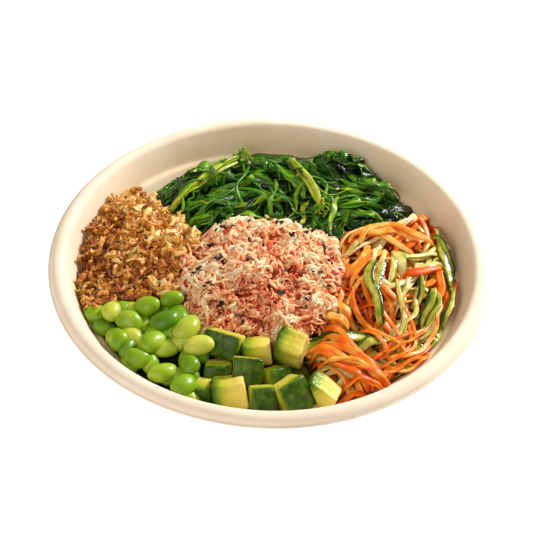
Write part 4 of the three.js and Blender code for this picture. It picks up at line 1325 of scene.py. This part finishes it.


# The core's colours are painted shade for the gaps between the threads.
threads_pieces = [heap_core(
    "threads_core", "threads", threads_outline, about(72, -18), lambda x, y: threads_top(x, y) - 8.5,
    patches=(5, 3), bumps=(4, 3, 1.2), colours=[(0.3, (44, 16, 0)), (0.7, (136, 54, 6))])]
for name, strands, material in (
    ("carrot_threads", carrot, carrot_finish()),
    ("cucumber_threads", cucumber, cucumber_finish("cucumber_flesh", skin=0.1)),
    ("cucumber_slices", slices, cucumber_finish("cucumber_with_skin", skin=0.5)),
):
    points, faces, values = strand_batch(strands, sides=8, squareness=0.35)
    threads_pieces.append(mesh_piece(name, points, faces, material, **values))
for piece in threads_pieces:
    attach(piece, "root")
    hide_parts("carrot_cucumber_threads")

# ---------------------------------------------------------------------------------------------
# Stage: a pale matt floor that glows a little, one small light high at the back right, a broader
# and weaker one at the front left, soft warm air all round, and the camera at the front.
# ---------------------------------------------------------------------------------------------

FLOOR_HALF = 20.0
CAMERA_TARGET = Vector((0.0029, -0.0162, 0.060))
CAMERA_DISTANCE = 0.82
CAMERA_ELEVATION = math.radians(44.46)
CAMERA_ROLL = math.radians(2.16)
CAMERA_LENS = 104.7
KEY_PLACE = (0.82, 0.74, 0.74)
SOFTBOX_PLACE = (-0.5, -0.8, 0.8)
LIT_SPOT = (0, 0, 0.05)
WARM_AIR, AIR_STRENGTH = (1.0, 0.81, 0.58, 1), 0.43

floor_points = [(FLOOR_HALF * x, FLOOR_HALF * y, 0) for x, y in ((-1, -1), (1, -1), (1, 1), (-1, 1))]
floor_material, floor_shader = shader_of("pale_floor", Roughness=0.9, Specular_IOR_Level=0.1)
for socket, darker, lighter in (
    ("Base Color", (168, 168, 168), (174, 174, 174)),
    ("Emission Color", (232, 242, 255), (240, 248, 255)),
):
    colour = ramp(floor_material, grain(floor_material, 60, 2), [(0.3, darker), (0.7, lighter)])
    link(floor_material, colour, floor_shader.inputs[socket])
floor_shader.inputs["Emission Strength"].default_value = 1.0
floor = mesh_piece("floor", np.array(floor_points) / MM, [(0, 1, 2, 3)], floor_material)


def area_light(name, place, size, power, colour):
    lamp = bpy.data.lights.new(name, "AREA")
    lamp.size = size
    lamp.energy = power
    lamp.color = colour
    light = bpy.data.objects.new(name, lamp)
    light.location = place
    light.rotation_euler = (Vector(LIT_SPOT) - Vector(place)).to_track_quat("-Z", "Y").to_euler()
    bpy.context.scene.collection.objects.link(light)


area_light("key", KEY_PLACE, size=0.26, power=22, colour=(1.0, 0.985, 0.96))
area_light("front softbox", SOFTBOX_PLACE, size=0.8, power=5.0, colour=(1.0, 0.98, 0.96))
world = bpy.data.worlds.new("studio")
world.use_nodes = True
air = world.node_tree.nodes["Background"]
air.inputs["Color"].default_value = WARM_AIR
air.inputs["Strength"].default_value = AIR_STRENGTH
bpy.context.scene.world = world
bpy.context.scene.view_settings.view_transform = "Standard"

camera = bpy.data.objects.new("camera", bpy.data.cameras.new("camera"))
camera.data.lens = CAMERA_LENS
camera.data.sensor_width = 36
away = Vector((0, -math.cos(CAMERA_ELEVATION), math.sin(CAMERA_ELEVATION)))
level, rising = Vector((1, 0, 0)), Vector((0, math.sin(CAMERA_ELEVATION), math.cos(CAMERA_ELEVATION)))
right = math.cos(CAMERA_ROLL) * level + math.sin(CAMERA_ROLL) * rising
upward = math.cos(CAMERA_ROLL) * rising - math.sin(CAMERA_ROLL) * level
camera.matrix_world = Matrix.Translation(CAMERA_TARGET + CAMERA_DISTANCE * away) @ Matrix(
    (right, upward, away)).transposed().to_4x4()
bpy.context.scene.collection.objects.link(camera)
bpy.context.scene.camera = camera
